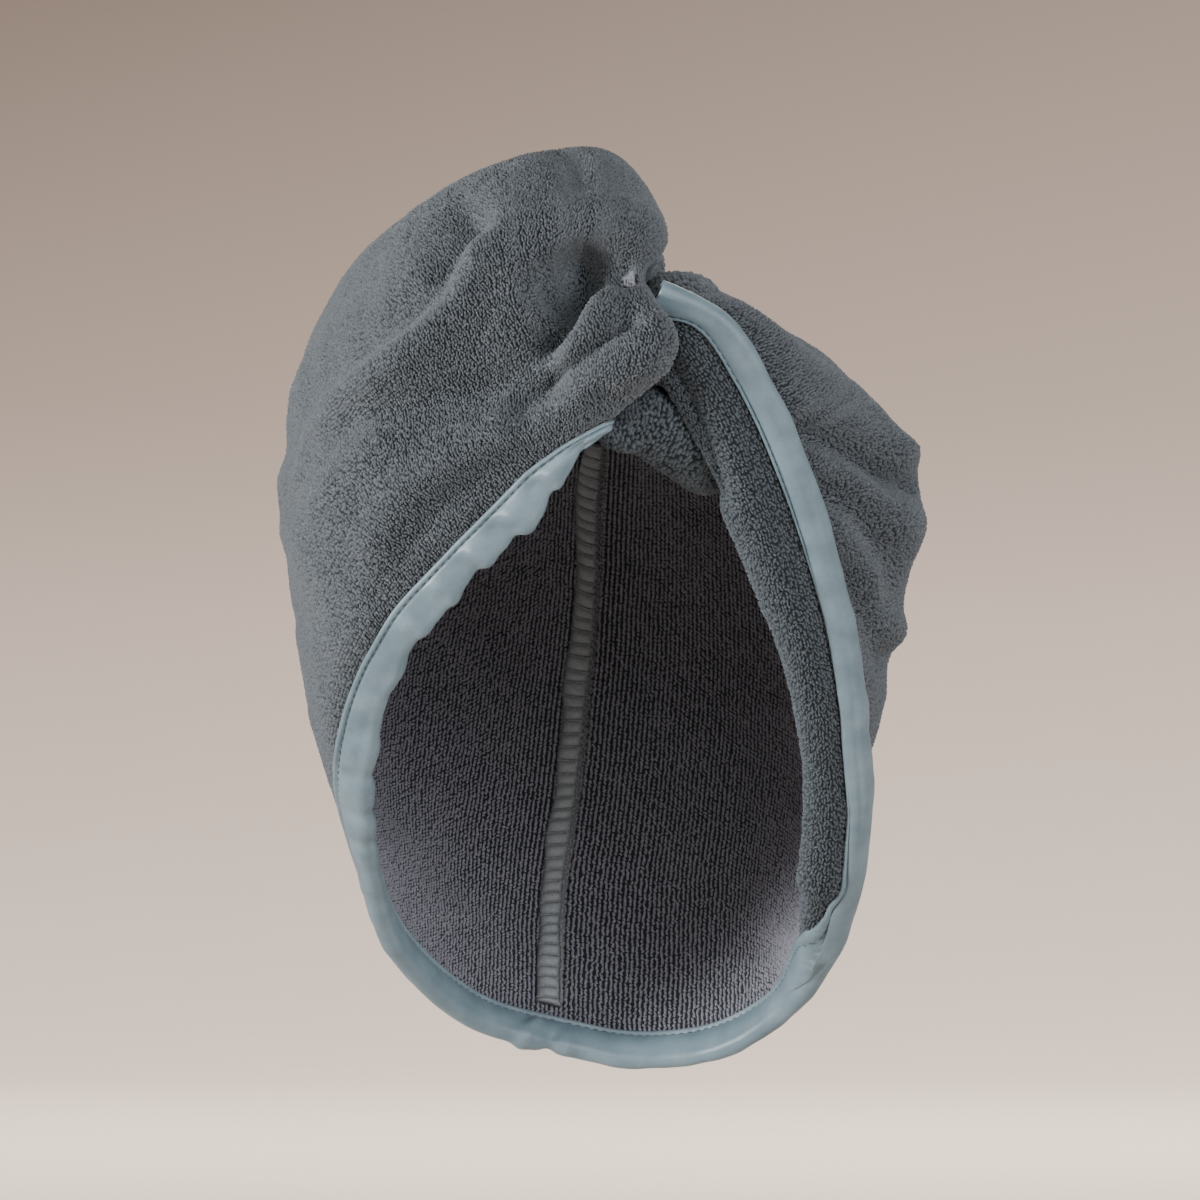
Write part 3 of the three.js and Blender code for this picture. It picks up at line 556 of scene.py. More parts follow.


# Each foot colour is the painted shade in the gaps between the loops.
outerTerry = terryMaterial("terryKnittedCottonOuter", {
    "pale": "#7d8388", "deep": "#60666b", "cloud": "#6e7479", "foot": "#272b2f", "sheen": "#a6adb2"}, 0.4)
innerTerry = terryMaterial("terryKnittedCottonInner", {
    "pale": "#9f9faa", "deep": "#8a8a92", "cloud": "#9595a0", "foot": "#5c5c65", "sheen": "#a2a2aa"}, 0.2)
# Painted shade: the lapel shows the inner face, yet this copy of the inner terry is coloured much darker; the
# pleat and tuck in the fold wear it too.
shadedLapelTerry = terryMaterial("terryKnittedCottonLapelShaded", {
    "pale": "#727a80", "deep": "#586066", "cloud": "#656d73", "foot": "#23282c", "sheen": "#8d959b"}, 0.3)
seamTerry = terryMaterial("terryOverlockedEdge", {
    "pale": "#b2b7ba", "deep": "#9ba1a4", "cloud": "#a6acaf", "foot": "#565a5e", "sheen": "#a9aeb2"}, 0.2)
satin = satinMaterial("satinPressedPolyester", {"pale": "#8399a3", "deep": "#6c818b", "grain": "#61757f"})
edgeThread = threadMaterial("threadSpunPolyesterEdge", {"pale": "#5d7178", "deep": "#46575d"})
seamThread = threadMaterial("threadSpunPolyesterSeam", {"pale": "#8f9396", "deep": "#6c7073"})
button = buttonMaterial("buttonMouldedNylon", {"pale": "#585f61", "deep": "#464c4e"})
print("materials made")


clear = 0.00035  # the gap between pieces in the CAD source
leftPoint = makePanel(leftSections, leftFolds, {}, [], [rightSections["nape"]])
rightPoint = makePanel(rightSections, rightFolds, lapelFolds, [leftSections["neck"]], [])
seamStep = clear / (0.1 * wrap["width"])
crownStep = clear / (0.25 * wrap["depth"])

panelDetail = {"leftRows": 300, "rightRows": 320, "columns": 240, "clothEvery": 2, "firstLine": 0.0004}
tPlaces = np.linspace(0, 6 - crownStep, panelDetail["columns"] + 1)
leftGrid = makeGrid(leftPoint, np.linspace(0, 11 - seamStep, panelDetail["leftRows"] + 1), tPlaces)
rightGrid = makeGrid(rightPoint, np.linspace(seamStep, 13, panelDetail["rightRows"] + 1), tPlaces)


# A half's cloth: the grid and the same grid one thickness further in.
def makeCloth(name, grid, node):
    every = panelDetail["clothEvery"]
    points = grid["points"][::every, ::every]
    inner = points - grid["normals"][::every, ::every] * wrap["thickness"]
    whole = np.concatenate([points.reshape(-1, 3), inner.reshape(-1, 3)])
    faces = outwards(whole, sheetFaces(*points.shape[:2]))
    # The bare cloth has no tip values, so it takes the foot colour: the painted shade seen between the loops.
    return declare(makePiece(name, whole, faces, outerTerry), node)


leftCloth = makeCloth("leftPanelCloth", leftGrid, "left_panel")
rightCloth = makeCloth("rightPanelCloth", rightGrid, "right_panel")
print("cloth halves made")


# Terry loops on a grid's outer face (side 1), in lines along the rim, or on its inner face (side -1),
# in lines up from the rim. Keep says which of the even places stay.
def makeLoops(name, grid, side, rule, material, keep):
    points = grid["points"] - (grid["normals"] * wrap["thickness"] if side < 0 else 0)
    normals = grid["normals"] * side
    flip = side < 0 and grid is leftGrid
    if side < 0:
        points, normals = points.transpose(1, 0, 2), normals.transpose(1, 0, 2)
    if flip:
        points, normals = points[:, ::-1], normals[:, ::-1]
    a, b = evenPlaces(points, rule, panelDetail["firstLine"])
    base = between(points, a, b)
    normal = unit(between(normals, a, b))
    if rule["runsAlong"]:
        ahead = between(points, np.minimum(a + 0.5, len(points) - 1.001), b) - between(points, a - 0.5, b)
    else:
        last = points.shape[1] - 1.001
        ahead = between(points, a, np.minimum(b + 0.5, last)) - between(points, a, b - 0.5)
    s, t = (b, a) if side < 0 else (a, b)
    s = len(grid["s"]) - 1 - s if flip else s
    on = keep({"s": np.interp(s, np.arange(len(grid["s"])), grid["s"]),
               "t": np.interp(t, np.arange(len(grid["t"])), grid["t"]), "point": base})
    points, faces, values = loopMesh(base[on], normal[on], ahead[on], rule, rule["seed"] + 7)
    declare(makePiece(name, points, [faces], material, values))
    print(name, len(faces), "triangles")


binding = {"start": 1.12, "width": 0.0105, "innerShare": 0.8, "outsideShare": 0.62,
           "thickness": 0.0008, "room": 0.0007, "overLoops": 0.0003}
# The real loops stand about 1 mm apart; they are finest where the photograph looks closely.
frontLoops = {"across": 0.00115, "along": 0.00098, "length": 0.00135, "width": 0.00092, "height": 0.00075,
              "runsAlong": False, "seed": 11, "wobble": 0.28}
lapelLoops = frontLoops | {"across": 0.0013, "seed": 21}
backLoops = {"across": 0.00145, "along": 0.00125, "length": 0.0017, "width": 0.0012, "height": 0.0009,
             "runsAlong": False, "seed": 11, "wobble": 0.28}
innerLoops = {"across": 0.00152, "along": 0.00122, "length": 0.00152, "width": 0.00116, "height": 0.0005,
              "runsAlong": True, "seed": 22, "wobble": 0.13}


# How wide the satin is at a distance along the rim: it tapers where it slips under the twist.
def satinWidth(along):
    return binding["width"] * (0.35 + 0.65 * np.clip(along / 0.03, 0, 1) ** 0.7)


# Where a grid's own section or station numbers lie, in grid steps.
def stepAt(grid, key, value):
    return np.interp(value, grid[key], np.arange(len(grid[key])))


leftRim = distanceAlong(leftGrid["points"], 1)
rightRim = distanceAlong(rightGrid["points"], 1)


# How far a place lies from the rim, along the cloth.
def fromRim(grid, rim, place):
    return between(rim[..., None], stepAt(grid, "s", place["s"]), stepAt(grid, "t", place["t"]))[:, 0]


# The loops begin where the satin ends, and the satin is narrower where it comes out of the twist.
def leftOutside(place):
    gone = distanceAlong(leftGrid["points"][:, 0])
    start = binding["start"]
    along = np.interp(place["s"], leftGrid["s"], gone) - np.interp(start, leftGrid["s"], gone)
    line = satinWidth(along) * (place["s"] > start) - binding["overLoops"]
    return fromRim(leftGrid, leftRim, place) > line


# The right half is bare under the lapel, where nothing shows, but not beside the nape.
def rightOutside(place):
    line = binding["width"] * binding["outsideShare"] - binding["overLoops"]
    return (place["t"] > 0.85) | ((place["s"] < 5) & (fromRim(rightGrid, rightRim, place) > line))


# The turned-out lapel shows the pale side: stations below a line that rises from the nape end.
def onLapel(place):
    return place["t"] < 1.15 * np.clip((place["s"] - 3.2) / 1.5, 0, 1)


innerLine = binding["width"] * binding["innerShare"] - binding["overLoops"]


# Inside, the loops begin where the satin's inner wing ends.
def leftInside(place):
    return fromRim(leftGrid, leftRim, place) > innerLine


# The same on the right half, outside the lapel.
def rightInside(place):
    return ~onLapel(place) & (fromRim(rightGrid, rightRim, place) > innerLine)


# Piles are cut into pieces behind a depth and above a level, so that none is too large.
cuts = {"leftBack": 0.015, "rightBack": 0.035, "leftFront": -0.035, "rightInner": -0.105, "leftInner": -0.022}


# Further back than a cut: y is greater.
def behind(place, cut):
    return place["point"][:, 1] > cuts[cut]


# Higher than a cut: z is greater.
def above(place, cut):
    return place["point"][:, 2] > cuts[cut]


piles = {
    "leftPileUpper": (leftGrid, 1, frontLoops, outerTerry,
                      lambda p: leftOutside(p) & ~behind(p, "leftBack") & above(p, "leftFront")),
    "leftPileLower": (leftGrid, 1, frontLoops, outerTerry,
                      lambda p: leftOutside(p) & ~behind(p, "leftBack") & ~above(p, "leftFront")),
    "leftPileBack": (leftGrid, 1, backLoops, outerTerry, lambda p: leftOutside(p) & behind(p, "leftBack")),
    "rightPileFront": (rightGrid, 1, frontLoops, outerTerry,
                       lambda p: rightOutside(p) & ~behind(p, "rightBack")),
    "rightPileBack": (rightGrid, 1, backLoops, outerTerry,
                      lambda p: rightOutside(p) & behind(p, "rightBack")),
    "rightLapelPile": (rightGrid, -1, lapelLoops, shadedLapelTerry,
                       lambda p: onLapel(p) & (fromRim(rightGrid, rightRim, p) > innerLine)),
    "rightInnerPileUpper": (rightGrid, -1, innerLoops, innerTerry,
                            lambda p: rightInside(p) & above(p, "rightInner")),
    "rightInnerPileLower": (rightGrid, -1, innerLoops, innerTerry,
                            lambda p: rightInside(p) & ~above(p, "rightInner")),
    "leftInnerPileUpper": (leftGrid, -1, innerLoops | {"seed": 23}, innerTerry,
                           lambda p: leftInside(p) & above(p, "leftInner")),
    "leftInnerPileLower": (leftGrid, -1, innerLoops | {"seed": 23}, innerTerry,
                           lambda p: leftInside(p) & ~above(p, "leftInner")),
}
for pileName, pile in piles.items():
    makeLoops(pileName, *pile)
print("loops made")


# The satin edge. It is a channel folded over the rim: outer wing, a turn over the rim, inner wing.
edgeSizes = {
    "rows": 860,
    "wing": np.concatenate([np.linspace(1, 0.76, 7), np.linspace(0.7, 0.06, 10)]),
    "stitchShare": 0.82,
    "lip": 0.00045,
    "lipAt": 0.92,
    "lipWidth": 0.05,
    "groove": 0.00055,
    "grooveWidth": 0.035,
    "puff": 0.0007,
    "puffEnd": 0.8,
    "wave": 0.0007,
    "pucker": 0.0012,
    "pinch": 1.3,
    "puckerLength": 0.0165,
    "puckerSlant": 0.9,
}


# The rim from the twist round to the twist again: real distances, and the section at each.
def rimTable(count=1500):
    sections, paths = [], []
    for grid, first in ((leftGrid, binding["start"]), (rightGrid, seamStep)):
        sections.append(np.linspace(first, grid["s"][-1], count))
        paths.append(between(grid["points"], stepAt(grid, "s", sections[-1]), np.zeros(count)))
    gone = distanceAlong(np.concatenate(paths))
    return {"gone": gone, "s": np.concatenate(sections), "seam": gone[count - 1]}


rimRuler = rimTable()


# Places on the rim at chosen distances along it. The satin is pinched just before the back seam.
def rimPlaces(along):
    left = along <= rimRuler["seam"]
    count = len(rimRuler["s"]) // 2
    sLeft = np.interp(along, rimRuler["gone"][:count], rimRuler["s"][:count])
    sRight = np.interp(along, rimRuler["gone"][count:], rimRuler["s"][count:])
    return {"along": along, "s": np.where(left, sLeft, sRight), "left": left,
            "pinch": rimRuler["seam"] - 0.008}


# Points on the cloth a chosen distance in from the rim, with the normal there.
def insetFrom(rim, distance):
    left = rim["left"][:, None]
    sides = []
    for grid, arc in ((leftGrid, leftRim), (rightGrid, rightRim)):
        a = np.clip(stepAt(grid, "s", rim["s"]), 0, len(grid["s"]) - 1.001)
        column = np.arange(arc.shape[1])
        b = np.array([np.interp(d, arc[k], column) for k, d in zip(np.round(a).astype(int), distance)])
        sides.append((between(grid["points"], a, b), unit(between(grid["normals"], a, b))))
    return [np.where(left, onLeft, onRight) for onLeft, onRight in zip(*sides)]


# How strongly the strip was eased at each place of the rim: fully round the left side, least elsewhere.
def easing(rim, least):
    return np.where(rim["left"], np.clip((8.2 - rim["s"]) / 1.5, least, 1.0), least)


# The height of the satin over the cloth at a share of the wing: a lip, the stitched groove, the soft
# body, slanting puckers where the strip was eased round the left side, and a fine ripple at the edge.
def satinHeight(rim, share, skin):
    lip = edgeSizes["lip"] * np.exp(-(((share - edgeSizes["lipAt"]) / edgeSizes["lipWidth"]) ** 2))
    fromGroove = (share - edgeSizes["stitchShare"]) / edgeSizes["grooveWidth"]
    groove = -edgeSizes["groove"] * np.exp(-(fromGroove**2))
    body = np.clip((0.78 - share) / 0.3, 0, 1)
    end = edgeSizes["puffEnd"]
    puff = edgeSizes["puff"] * np.sin(math.pi * np.clip(share / end, 0, 1)) * (share < end)
    along = rim["along"]
    wander = 0.9 * np.sin(along / 0.041 + 1.0) + 0.6 * np.sin(along / 0.019 + 2.0)
    phase = 2 * math.pi * along / edgeSizes["puckerLength"] + wander - edgeSizes["puckerSlant"] * 2.5 * share
    wave = np.sin(phase) + 0.35 * np.sin(2.1 * phase + 1.3)
    strength = easing(rim, 0.12) * (0.6 + 0.4 * np.sin(along / 0.027 + 0.5))
    pinch = np.exp(-(((along - rim["pinch"]) / 0.006) ** 2))
    pucker = edgeSizes["pucker"] * wave * body * (strength + edgeSizes["pinch"] * pinch)
    ripple = 0.00012 * np.sin(2 * math.pi * along / 0.0031) * np.exp(-(((share - 0.84) / 0.06) ** 2))
    return binding["room"] + skin + lip + groove + puff + pucker + ripple


# Each skin of the channel: points along the outer wing, round the rim by an angle, and back along the
# inner wing, each lifted off the cloth by the satin's height.
def makeBinding():
    rim = rimPlaces(np.linspace(0, rimRuler["gone"][-1], edgeSizes["rows"]))
    wing = edgeSizes["wing"]
    width = satinWidth(rim["along"])
    thick = wrap["thickness"]
    edge, edgeNormal = insetFrom(rim, np.zeros(len(width)))
    inward, _ = insetFrom(rim, np.full(len(width), 0.002))
    out = unit(edge - inward)
    centre = edge - edgeNormal * (thick / 2)
    limit = np.where(rim["left"], 1.0, binding["outsideShare"])
    wave = np.sin(rim["along"] / 0.0052 + np.sin(rim["along"] / 0.017)) * edgeSizes["wave"]
    wave = (wave * easing(rim, 0.3))[:, None]
    skins = []
    for skin in (binding["thickness"], 0.0):
        columns = []
        for share in wing:
            point, normal = insetFrom(rim, width * share * limit)
            columns.append(point + normal * satinHeight(rim, share, skin)[:, None])
        radius = thick / 2 + satinHeight(rim, 0.0, skin)[:, None]
        for turn in np.radians(np.linspace(80, -80, 9)):
            columns.append(centre + out * (radius * math.cos(turn) + wave)
                           + edgeNormal * radius * math.sin(turn))
        for share in wing[::-1]:
            point, normal = insetFrom(rim, width * share * binding["innerShare"])
            columns.append(point - normal * (thick + satinHeight(rim, share, skin))[:, None])
        skins.append(np.stack(columns, axis=1))
    rows, columns = skins[0].shape[:2]
    points = np.concatenate([skin.reshape(-1, 3) for skin in skins])
    girth = distanceAlong(skins[0][rows // 2])
    uv = np.stack(np.broadcast_arrays(rim["along"][:, None], girth[None, :]), -1).reshape(-1, 2)
    piece = makePiece("edgeBindingSatin", points, outwards(points, sheetFaces(rows, columns)), satin,
                      uv=np.concatenate([uv, uv]))
    return declare(piece, "edge_binding")


bindingPiece = makeBinding()
print("satin edge made")

stitchSizes = {"first": 0.004, "pitch": 0.0029, "length": 0.0021, "radius": 0.00028, "bow": 0.00022}


# Stitches: a short thread every pitch along the satin's groove, bowed up in its middle, with its ends
# sunk; none crosses the back seam.
def makeStitches(name, side, limitLeft, limitRight):
    count = int(rimRuler["gone"][-1] / stitchSizes["pitch"]) - 2
    starts = stitchSizes["first"] + np.arange(count) * stitchSizes["pitch"]
    starts = starts[np.abs(starts - rimRuler["seam"]) > 0.7 * stitchSizes["length"]]
    steps = np.linspace(-0.5, 0.5, 5) * stitchSizes["length"]
    rim = rimPlaces((starts[:, None] + steps[None, :]).ravel())
    limit = np.where(rim["left"], limitLeft, limitRight)
    point, normal = insetFrom(rim, satinWidth(rim["along"]) * edgeSizes["stitchShare"] * limit)
    bow = np.tile(stitchSizes["bow"] * np.array([-1.2, 0.6, 1.0, 0.6, -1.2]), len(starts))
    height = satinHeight(rim, edgeSizes["stitchShare"], binding["thickness"]) + bow
    lift = height if side > 0 else -(wrap["thickness"] + height)
    paths = (point + normal * lift[:, None]).reshape(len(starts), 5, 3)
    declare(makePiece(name, *tubes(paths, stitchSizes["radius"], 5), edgeThread))


makeStitches("bindingStitchesOuter", 1, 1.0, binding["outsideShare"])
makeStitches("bindingStitchesInner", -1, binding["innerShare"], binding["innerShare"])
print("edge stitches made")

# The back seam: both halves' edges overlocked together and laid to the left.
seamSizes = {"width": 0.008, "height": 0.0022, "offset": 0.0006, "rung": 0.0040, "slant": 0.22,
             "start": 0.0135, "end": 5.25, "over": 0.0004, "thread": 0.00030,
             "chainPitch": 0.0022, "chainThread": 0.00036, "chainOut": 0.0009, "chainUp": 0.0022}


# Points beside the back seam, over the left half's inner face: down its length, across its band, and
# a height above the cloth.
def seamPoint(t, across, height):
    back = leftGrid["points"][::-1]
    normals = leftGrid["normals"][::-1]
    arc = distanceAlong(back)[:40]
    b = stepAt(leftGrid, "t", t)
    row = np.arange(len(arc))
    a = np.array([np.interp(d, arc[:, k], row) for k, d in zip(np.round(b).astype(int), across)])
    lift = (wrap["thickness"] + seamSizes["over"] + height)[:, None]
    return between(back, a, b) - unit(between(normals, a, b)) * lift


# How far the band's free edge wanders to the side at a distance down the seam.
def seamWander(down):
    return 0.0005 * np.sin(down / 0.009) + 0.0003 * np.sin(down / 0.0037)


# The band's arched section, from its own share across: a flattened half sine.
def seamArch(share):
    return np.clip(np.sin(math.pi * share), 0, 1) ** 0.45


# The overlocked band with a dip every rung, a thread across it at each dip, and along its right side
# the looped edge, small loops that lock into one another.
def makeSeam():
    arc = distanceAlong(leftGrid["points"][-1])
    first = np.interp(seamSizes["start"], arc, leftGrid["t"])
    tFine = np.linspace(first, seamSizes["end"], 420)
    length = np.interp(tFine, leftGrid["t"], arc)
    high = seamSizes["height"] * 1.15
    t, w = np.meshgrid(tFine, np.linspace(0, 1, 17), indexing="ij")
    down = np.broadcast_to(length[:, None], w.shape)
    rung = np.abs(np.sin(math.pi * (down / seamSizes["rung"] + seamSizes["slant"] * w))) ** 0.55
    body = seamArch(np.clip(w * 0.96 + 0.02, 0, 1)) * np.where(w > 0.3, 0.4 + 0.6 * rung, 0.9)
    across = (seamSizes["offset"] + w * seamSizes["width"] + seamWander(down) * w).ravel()
    points = np.concatenate([seamPoint(t.ravel(), across, (high * body).ravel()),
                             seamPoint(t.ravel(), across, np.full(t.size, -0.0002))])
    # Painted shade: tip follows the band's height, so its dips between the rungs, its low edges and its
    # underside go to the foot's shade colour.
    tip = np.clip(np.concatenate([body.ravel(), np.zeros(t.size)]), 0, 1)
    band = makePiece("backSeamOverlock", points, outwards(points, sheetFaces(*t.shape)), seamTerry,
                     {"tip": tip})
    declare(band, "back_seam")

    rungs = np.arange(math.ceil(length[0] / seamSizes["rung"]), math.floor(length[-1] / seamSizes["rung"]))
    w = np.linspace(-0.02, 1.02, 12)
    at = (rungs[:, None] - seamSizes["slant"] * w[None, :]) * seamSizes["rung"]
    w = np.broadcast_to(w, at.shape).ravel()
    across = np.maximum(seamSizes["offset"] + w * seamSizes["width"] + seamWander(at).ravel() * w, 0)
    rise = high * seamArch(np.clip(w, 0.02, 0.98)) * np.where(w > 0.3, 0.66, 0.95) + 0.0001
    paths = seamPoint(np.interp(at.ravel(), arc, leftGrid["t"]), across, rise).reshape(*at.shape, 3)
    ladder = makePiece("seamLadderThread", *tubes(paths, seamSizes["thread"], 5), seamThread)
    declare(ladder)

    pitch = seamSizes["chainPitch"]
    loopsAt = np.arange(length[0] + 0.001, length[-1] - 0.001, pitch)
    u = np.linspace(0, 1, 9)
    at = loopsAt[:, None] + (u[None, :] * 1.35 - 0.2) * pitch
    sway = np.broadcast_to(seamSizes["chainOut"] + 0.0010 * np.sin(math.pi * u), at.shape).ravel()
    rise = np.broadcast_to(seamSizes["chainUp"] - 0.0007 * np.cos(2 * math.pi * u), at.shape).ravel()
    paths = seamPoint(np.interp(at.ravel(), arc, leftGrid["t"]), sway, rise).reshape(*at.shape, 3)
    chain = makePiece("seamChainThread", *tubes(paths, seamSizes["chainThread"], 5), seamThread)
    declare(chain)


makeSeam()
print("back seam made")

# Rolls of cloth: the tail, the strand at the knot, and the pleat and tuck inside it.
# Stations hold x, y, z in shares of the wrap's sizes, then width and thickness in shares of the roll's.
rolls = {
    "tail": {"node": "tail", "slot": "tail_terry", "width": 0.046, "thickness": 0.027, "across": (1, 0, 0),
             "twist": 3.2, "groove": 0.30, "rings": 240, "sides": 96, "pressed": True,
             "stations": [(0.010, -0.080, 0.040, 0.45, 0.55), (-0.010, 0.060, 0.070, 0.80, 0.85),
                          (-0.005, 0.260, 0.052, 1.00, 1.00), (-0.002, 0.485, -0.085, 1.00, 1.00),
                          (-0.010, 0.615, -0.280, 0.95, 0.95), (-0.030, 0.625, -0.450, 0.85, 0.85),
                          (-0.045, 0.570, -0.580, 0.70, 0.70), (-0.054, 0.515, -0.655, 0.50, 0.50)]},
    "strand": {"node": "right_strand", "slot": "tail_terry", "width": 0.022, "thickness": 0.022,
               "across": (1, 0, 0), "twist": 1.5, "groove": 0.06, "rings": 80, "sides": 48,
               "stations": [(0.088, -0.410, 0.000, 0.70, 0.70), (0.115, -0.380, 0.017, 1.00, 0.90),
                            (0.136, -0.310, 0.014, 0.95, 0.80), (0.146, -0.220, 0.002, 0.60, 0.60)]},
    "pleat": {"node": "inner_pleat", "slot": "pleat_terry", "width": 0.020, "thickness": 0.020,
              "across": (0, 1, 0), "twist": 1.0, "groove": 0.05, "rings": 80, "sides": 48,
              "stations": [(0.020, -0.475, -0.088, 0.60, 0.70), (0.080, -0.435, -0.106, 1.00, 1.00),
                           (0.140, -0.380, -0.136, 1.00, 1.00), (0.185, -0.320, -0.174, 0.50, 0.70)]},
    "tuck": {"node": "inner_tuck", "slot": "pleat_terry", "width": 0.009, "thickness": 0.009,
             "across": (0, 1, 0), "twist": 0.5, "groove": 0.05, "rings": 40, "sides": 32,
             "stations": [(0.000, -0.485, -0.116, 0.80, 0.80), (0.040, -0.465, -0.120, 1.00, 1.00),
                          (0.080, -0.440, -0.122, 0.70, 0.70)]},
}


rollLumps = {"length": 0.016, "height": 0.0006, "seed": 31}
rollLoops = {"across": 0.00165, "along": 0.00145, "length": 0.0019, "width": 0.00138, "height": 0.0009,
             "seed": 41, "wobble": 0.28}


# Normals of a grid of closed rings, on the side that the given directions lie on.
def ringNormals(points, outward):
    wide = np.concatenate([points[:, -1:], points, points[:, :1]], axis=1)
    normals = unit(np.cross(np.gradient(wide, axis=1)[:, 1:-1], np.gradient(points, axis=0)))
    return normals * np.sign(np.einsum("ijc,ijc->", normals, outward))


# A roll's surface: rings square to its line, flattened to its width and thickness, with two grooves
# that turn round it, rounded off at both ends.
def rollGrid(roll):
    stations = np.array(roll["stations"], float)
    centres = placeShares(stations[:, :3])
    sizes = stations[:, 3:] * [roll["width"], roll["thickness"]]
    last = len(stations) - 1
    share = 0.5 - 0.5 * np.cos(math.pi * np.linspace(0, 1, roll["rings"] + 1))
    u = 0.02 + share * (last - 0.04)
    weights = curveWeights(last + 1, u)
    centre = weights @ centres
    size = weights @ sizes
    forward = unit((curveWeights(last + 1, u + 0.02) - curveWeights(last + 1, u - 0.02)) @ centres)
    across = np.array(roll["across"], float)
    side = unit(across - forward * (forward @ across)[:, None])
    up = np.cross(forward, side)
    near = np.clip(np.minimum(u, last - u) / 0.6, 0, 1)
    rounding = np.sqrt(1 - (1 - near) ** 2)
    angle = 2 * math.pi * np.arange(roll["sides"]) / roll["sides"]
    groove = (0.5 + 0.5 * np.cos(2 * angle[None, :] - roll["twist"] * u[:, None])) ** 3
    ring = rounding[:, None] * (1 - roll["groove"] * groove)
    points = (centre[:, None] + side[:, None] * (0.5 * size[:, :1] * ring * np.cos(angle))[..., None]
              + up[:, None] * (0.5 * size[:, 1:] * ring * np.sin(angle))[..., None])
    bump = lumps(points, rollLumps["length"], rollLumps["seed"]) * rollLumps["height"]
    normals = ringNormals(points, points - centre[:, None])
    return points + normals * (bump * rounding[:, None])[..., None], normals, up


# Lifts the points that lie under the hood's cloth to just above it: each by its depth under the nearest
# sample of cloth that faces the ring's own upright, straight along that upright, away from the head.
def pushOut(points, upright, gap=0.0012, reach=0.02, headMiddle=(0, 0.02, -0.09)):
    low, high = points.min(axis=(0, 1)) - reach, points.max(axis=(0, 1)) + reach
    samples, facings = [], []
    for grid in (leftGrid, rightGrid):
        face, normals = (grid[key][::4, 40::4].reshape(-1, 3) for key in ("points", "normals"))
        near = np.all((face > low) & (face < high), axis=1)
        samples.append(face[near])
        facings.append(normals[near])
    samples, facings = np.concatenate(samples), np.concatenate(facings)
    moved = points.copy()
    for k in range(len(moved)):
        away = upright[k] * np.sign(upright[k] @ (points[k].mean(axis=0) - headMiddle))
        alike = facings @ away > 0.5
        ground, facing = samples[alike], facings[alike]
        for _ in range(2):
            gaps = (moved[k]**2).sum(axis=1)[:, None] - 2 * moved[k] @ ground.T + (ground**2).sum(axis=1)
            nearest = gaps.argmin(axis=1)
            rise = ((moved[k] - ground[nearest]) * facing[nearest]).sum(axis=1)
            moved[k] += away * (np.clip(gap - rise, 0, reach) / (facing[nearest] @ away))[:, None]
    return moved


# A roll: its closed rings, and terry loops all over them.
def makeRoll(key, material):
    roll = rolls[key]
    points, normals, upright = rollGrid(roll)
    if roll.get("pressed"):
        points = pushOut(points, upright)
        normals = ringNormals(points, normals)
    # The roll's bare cloth has no tip values, so it takes the foot colour: the painted shade seen between the
    # loops.
    piece = makeRings(key + "ClothRoll", points, material)
    declare(piece, roll["node"])
    wrapped = np.concatenate([points, points[:, :1]], axis=1)
    wrappedNormals = np.concatenate([normals, normals[:, :1]], axis=1)
    a, b = evenPlaces(wrapped, rollLoops, 0)
    base = between(wrapped, a, b)
    ahead = between(wrapped, a, np.minimum(b + 0.5, points.shape[1] - 0.001)) - base
    loops, faces, values = loopMesh(base, unit(between(wrappedNormals, a, b)), ahead, rollLoops,
                                    rollLoops["seed"] + 2)
    declare(makePiece(key + "Pile", loops, [faces], material, values))
    print(key + "Pile", len(faces), "triangles")
    return piece


tailRoll = makeRoll("tail", outerTerry)
strandRoll = makeRoll("strand", outerTerry)
# The pleat and tuck wear the darker, shaded copy of the inner terry: painted shade inside the fold.
pleatRoll = makeRoll("pleat", shadedLapelTerry)
tuckRoll = makeRoll("tuck", shadedLapelTerry)
print("rolls made")

# The clasp at the nape, a guess: a button on a short stem, and the tail's elastic loop round the stem.
claspSizes = {"place": 1.15, "foot": 0.00150, "stem": 0.00370, "stemRadius": 0.0045, "head": 0.018,
              "headThickness": 0.004, "bevel": 0.0006, "loopLength": 0.030, "loopWidth": 0.016,
              "wire": 0.003, "sides": 64}


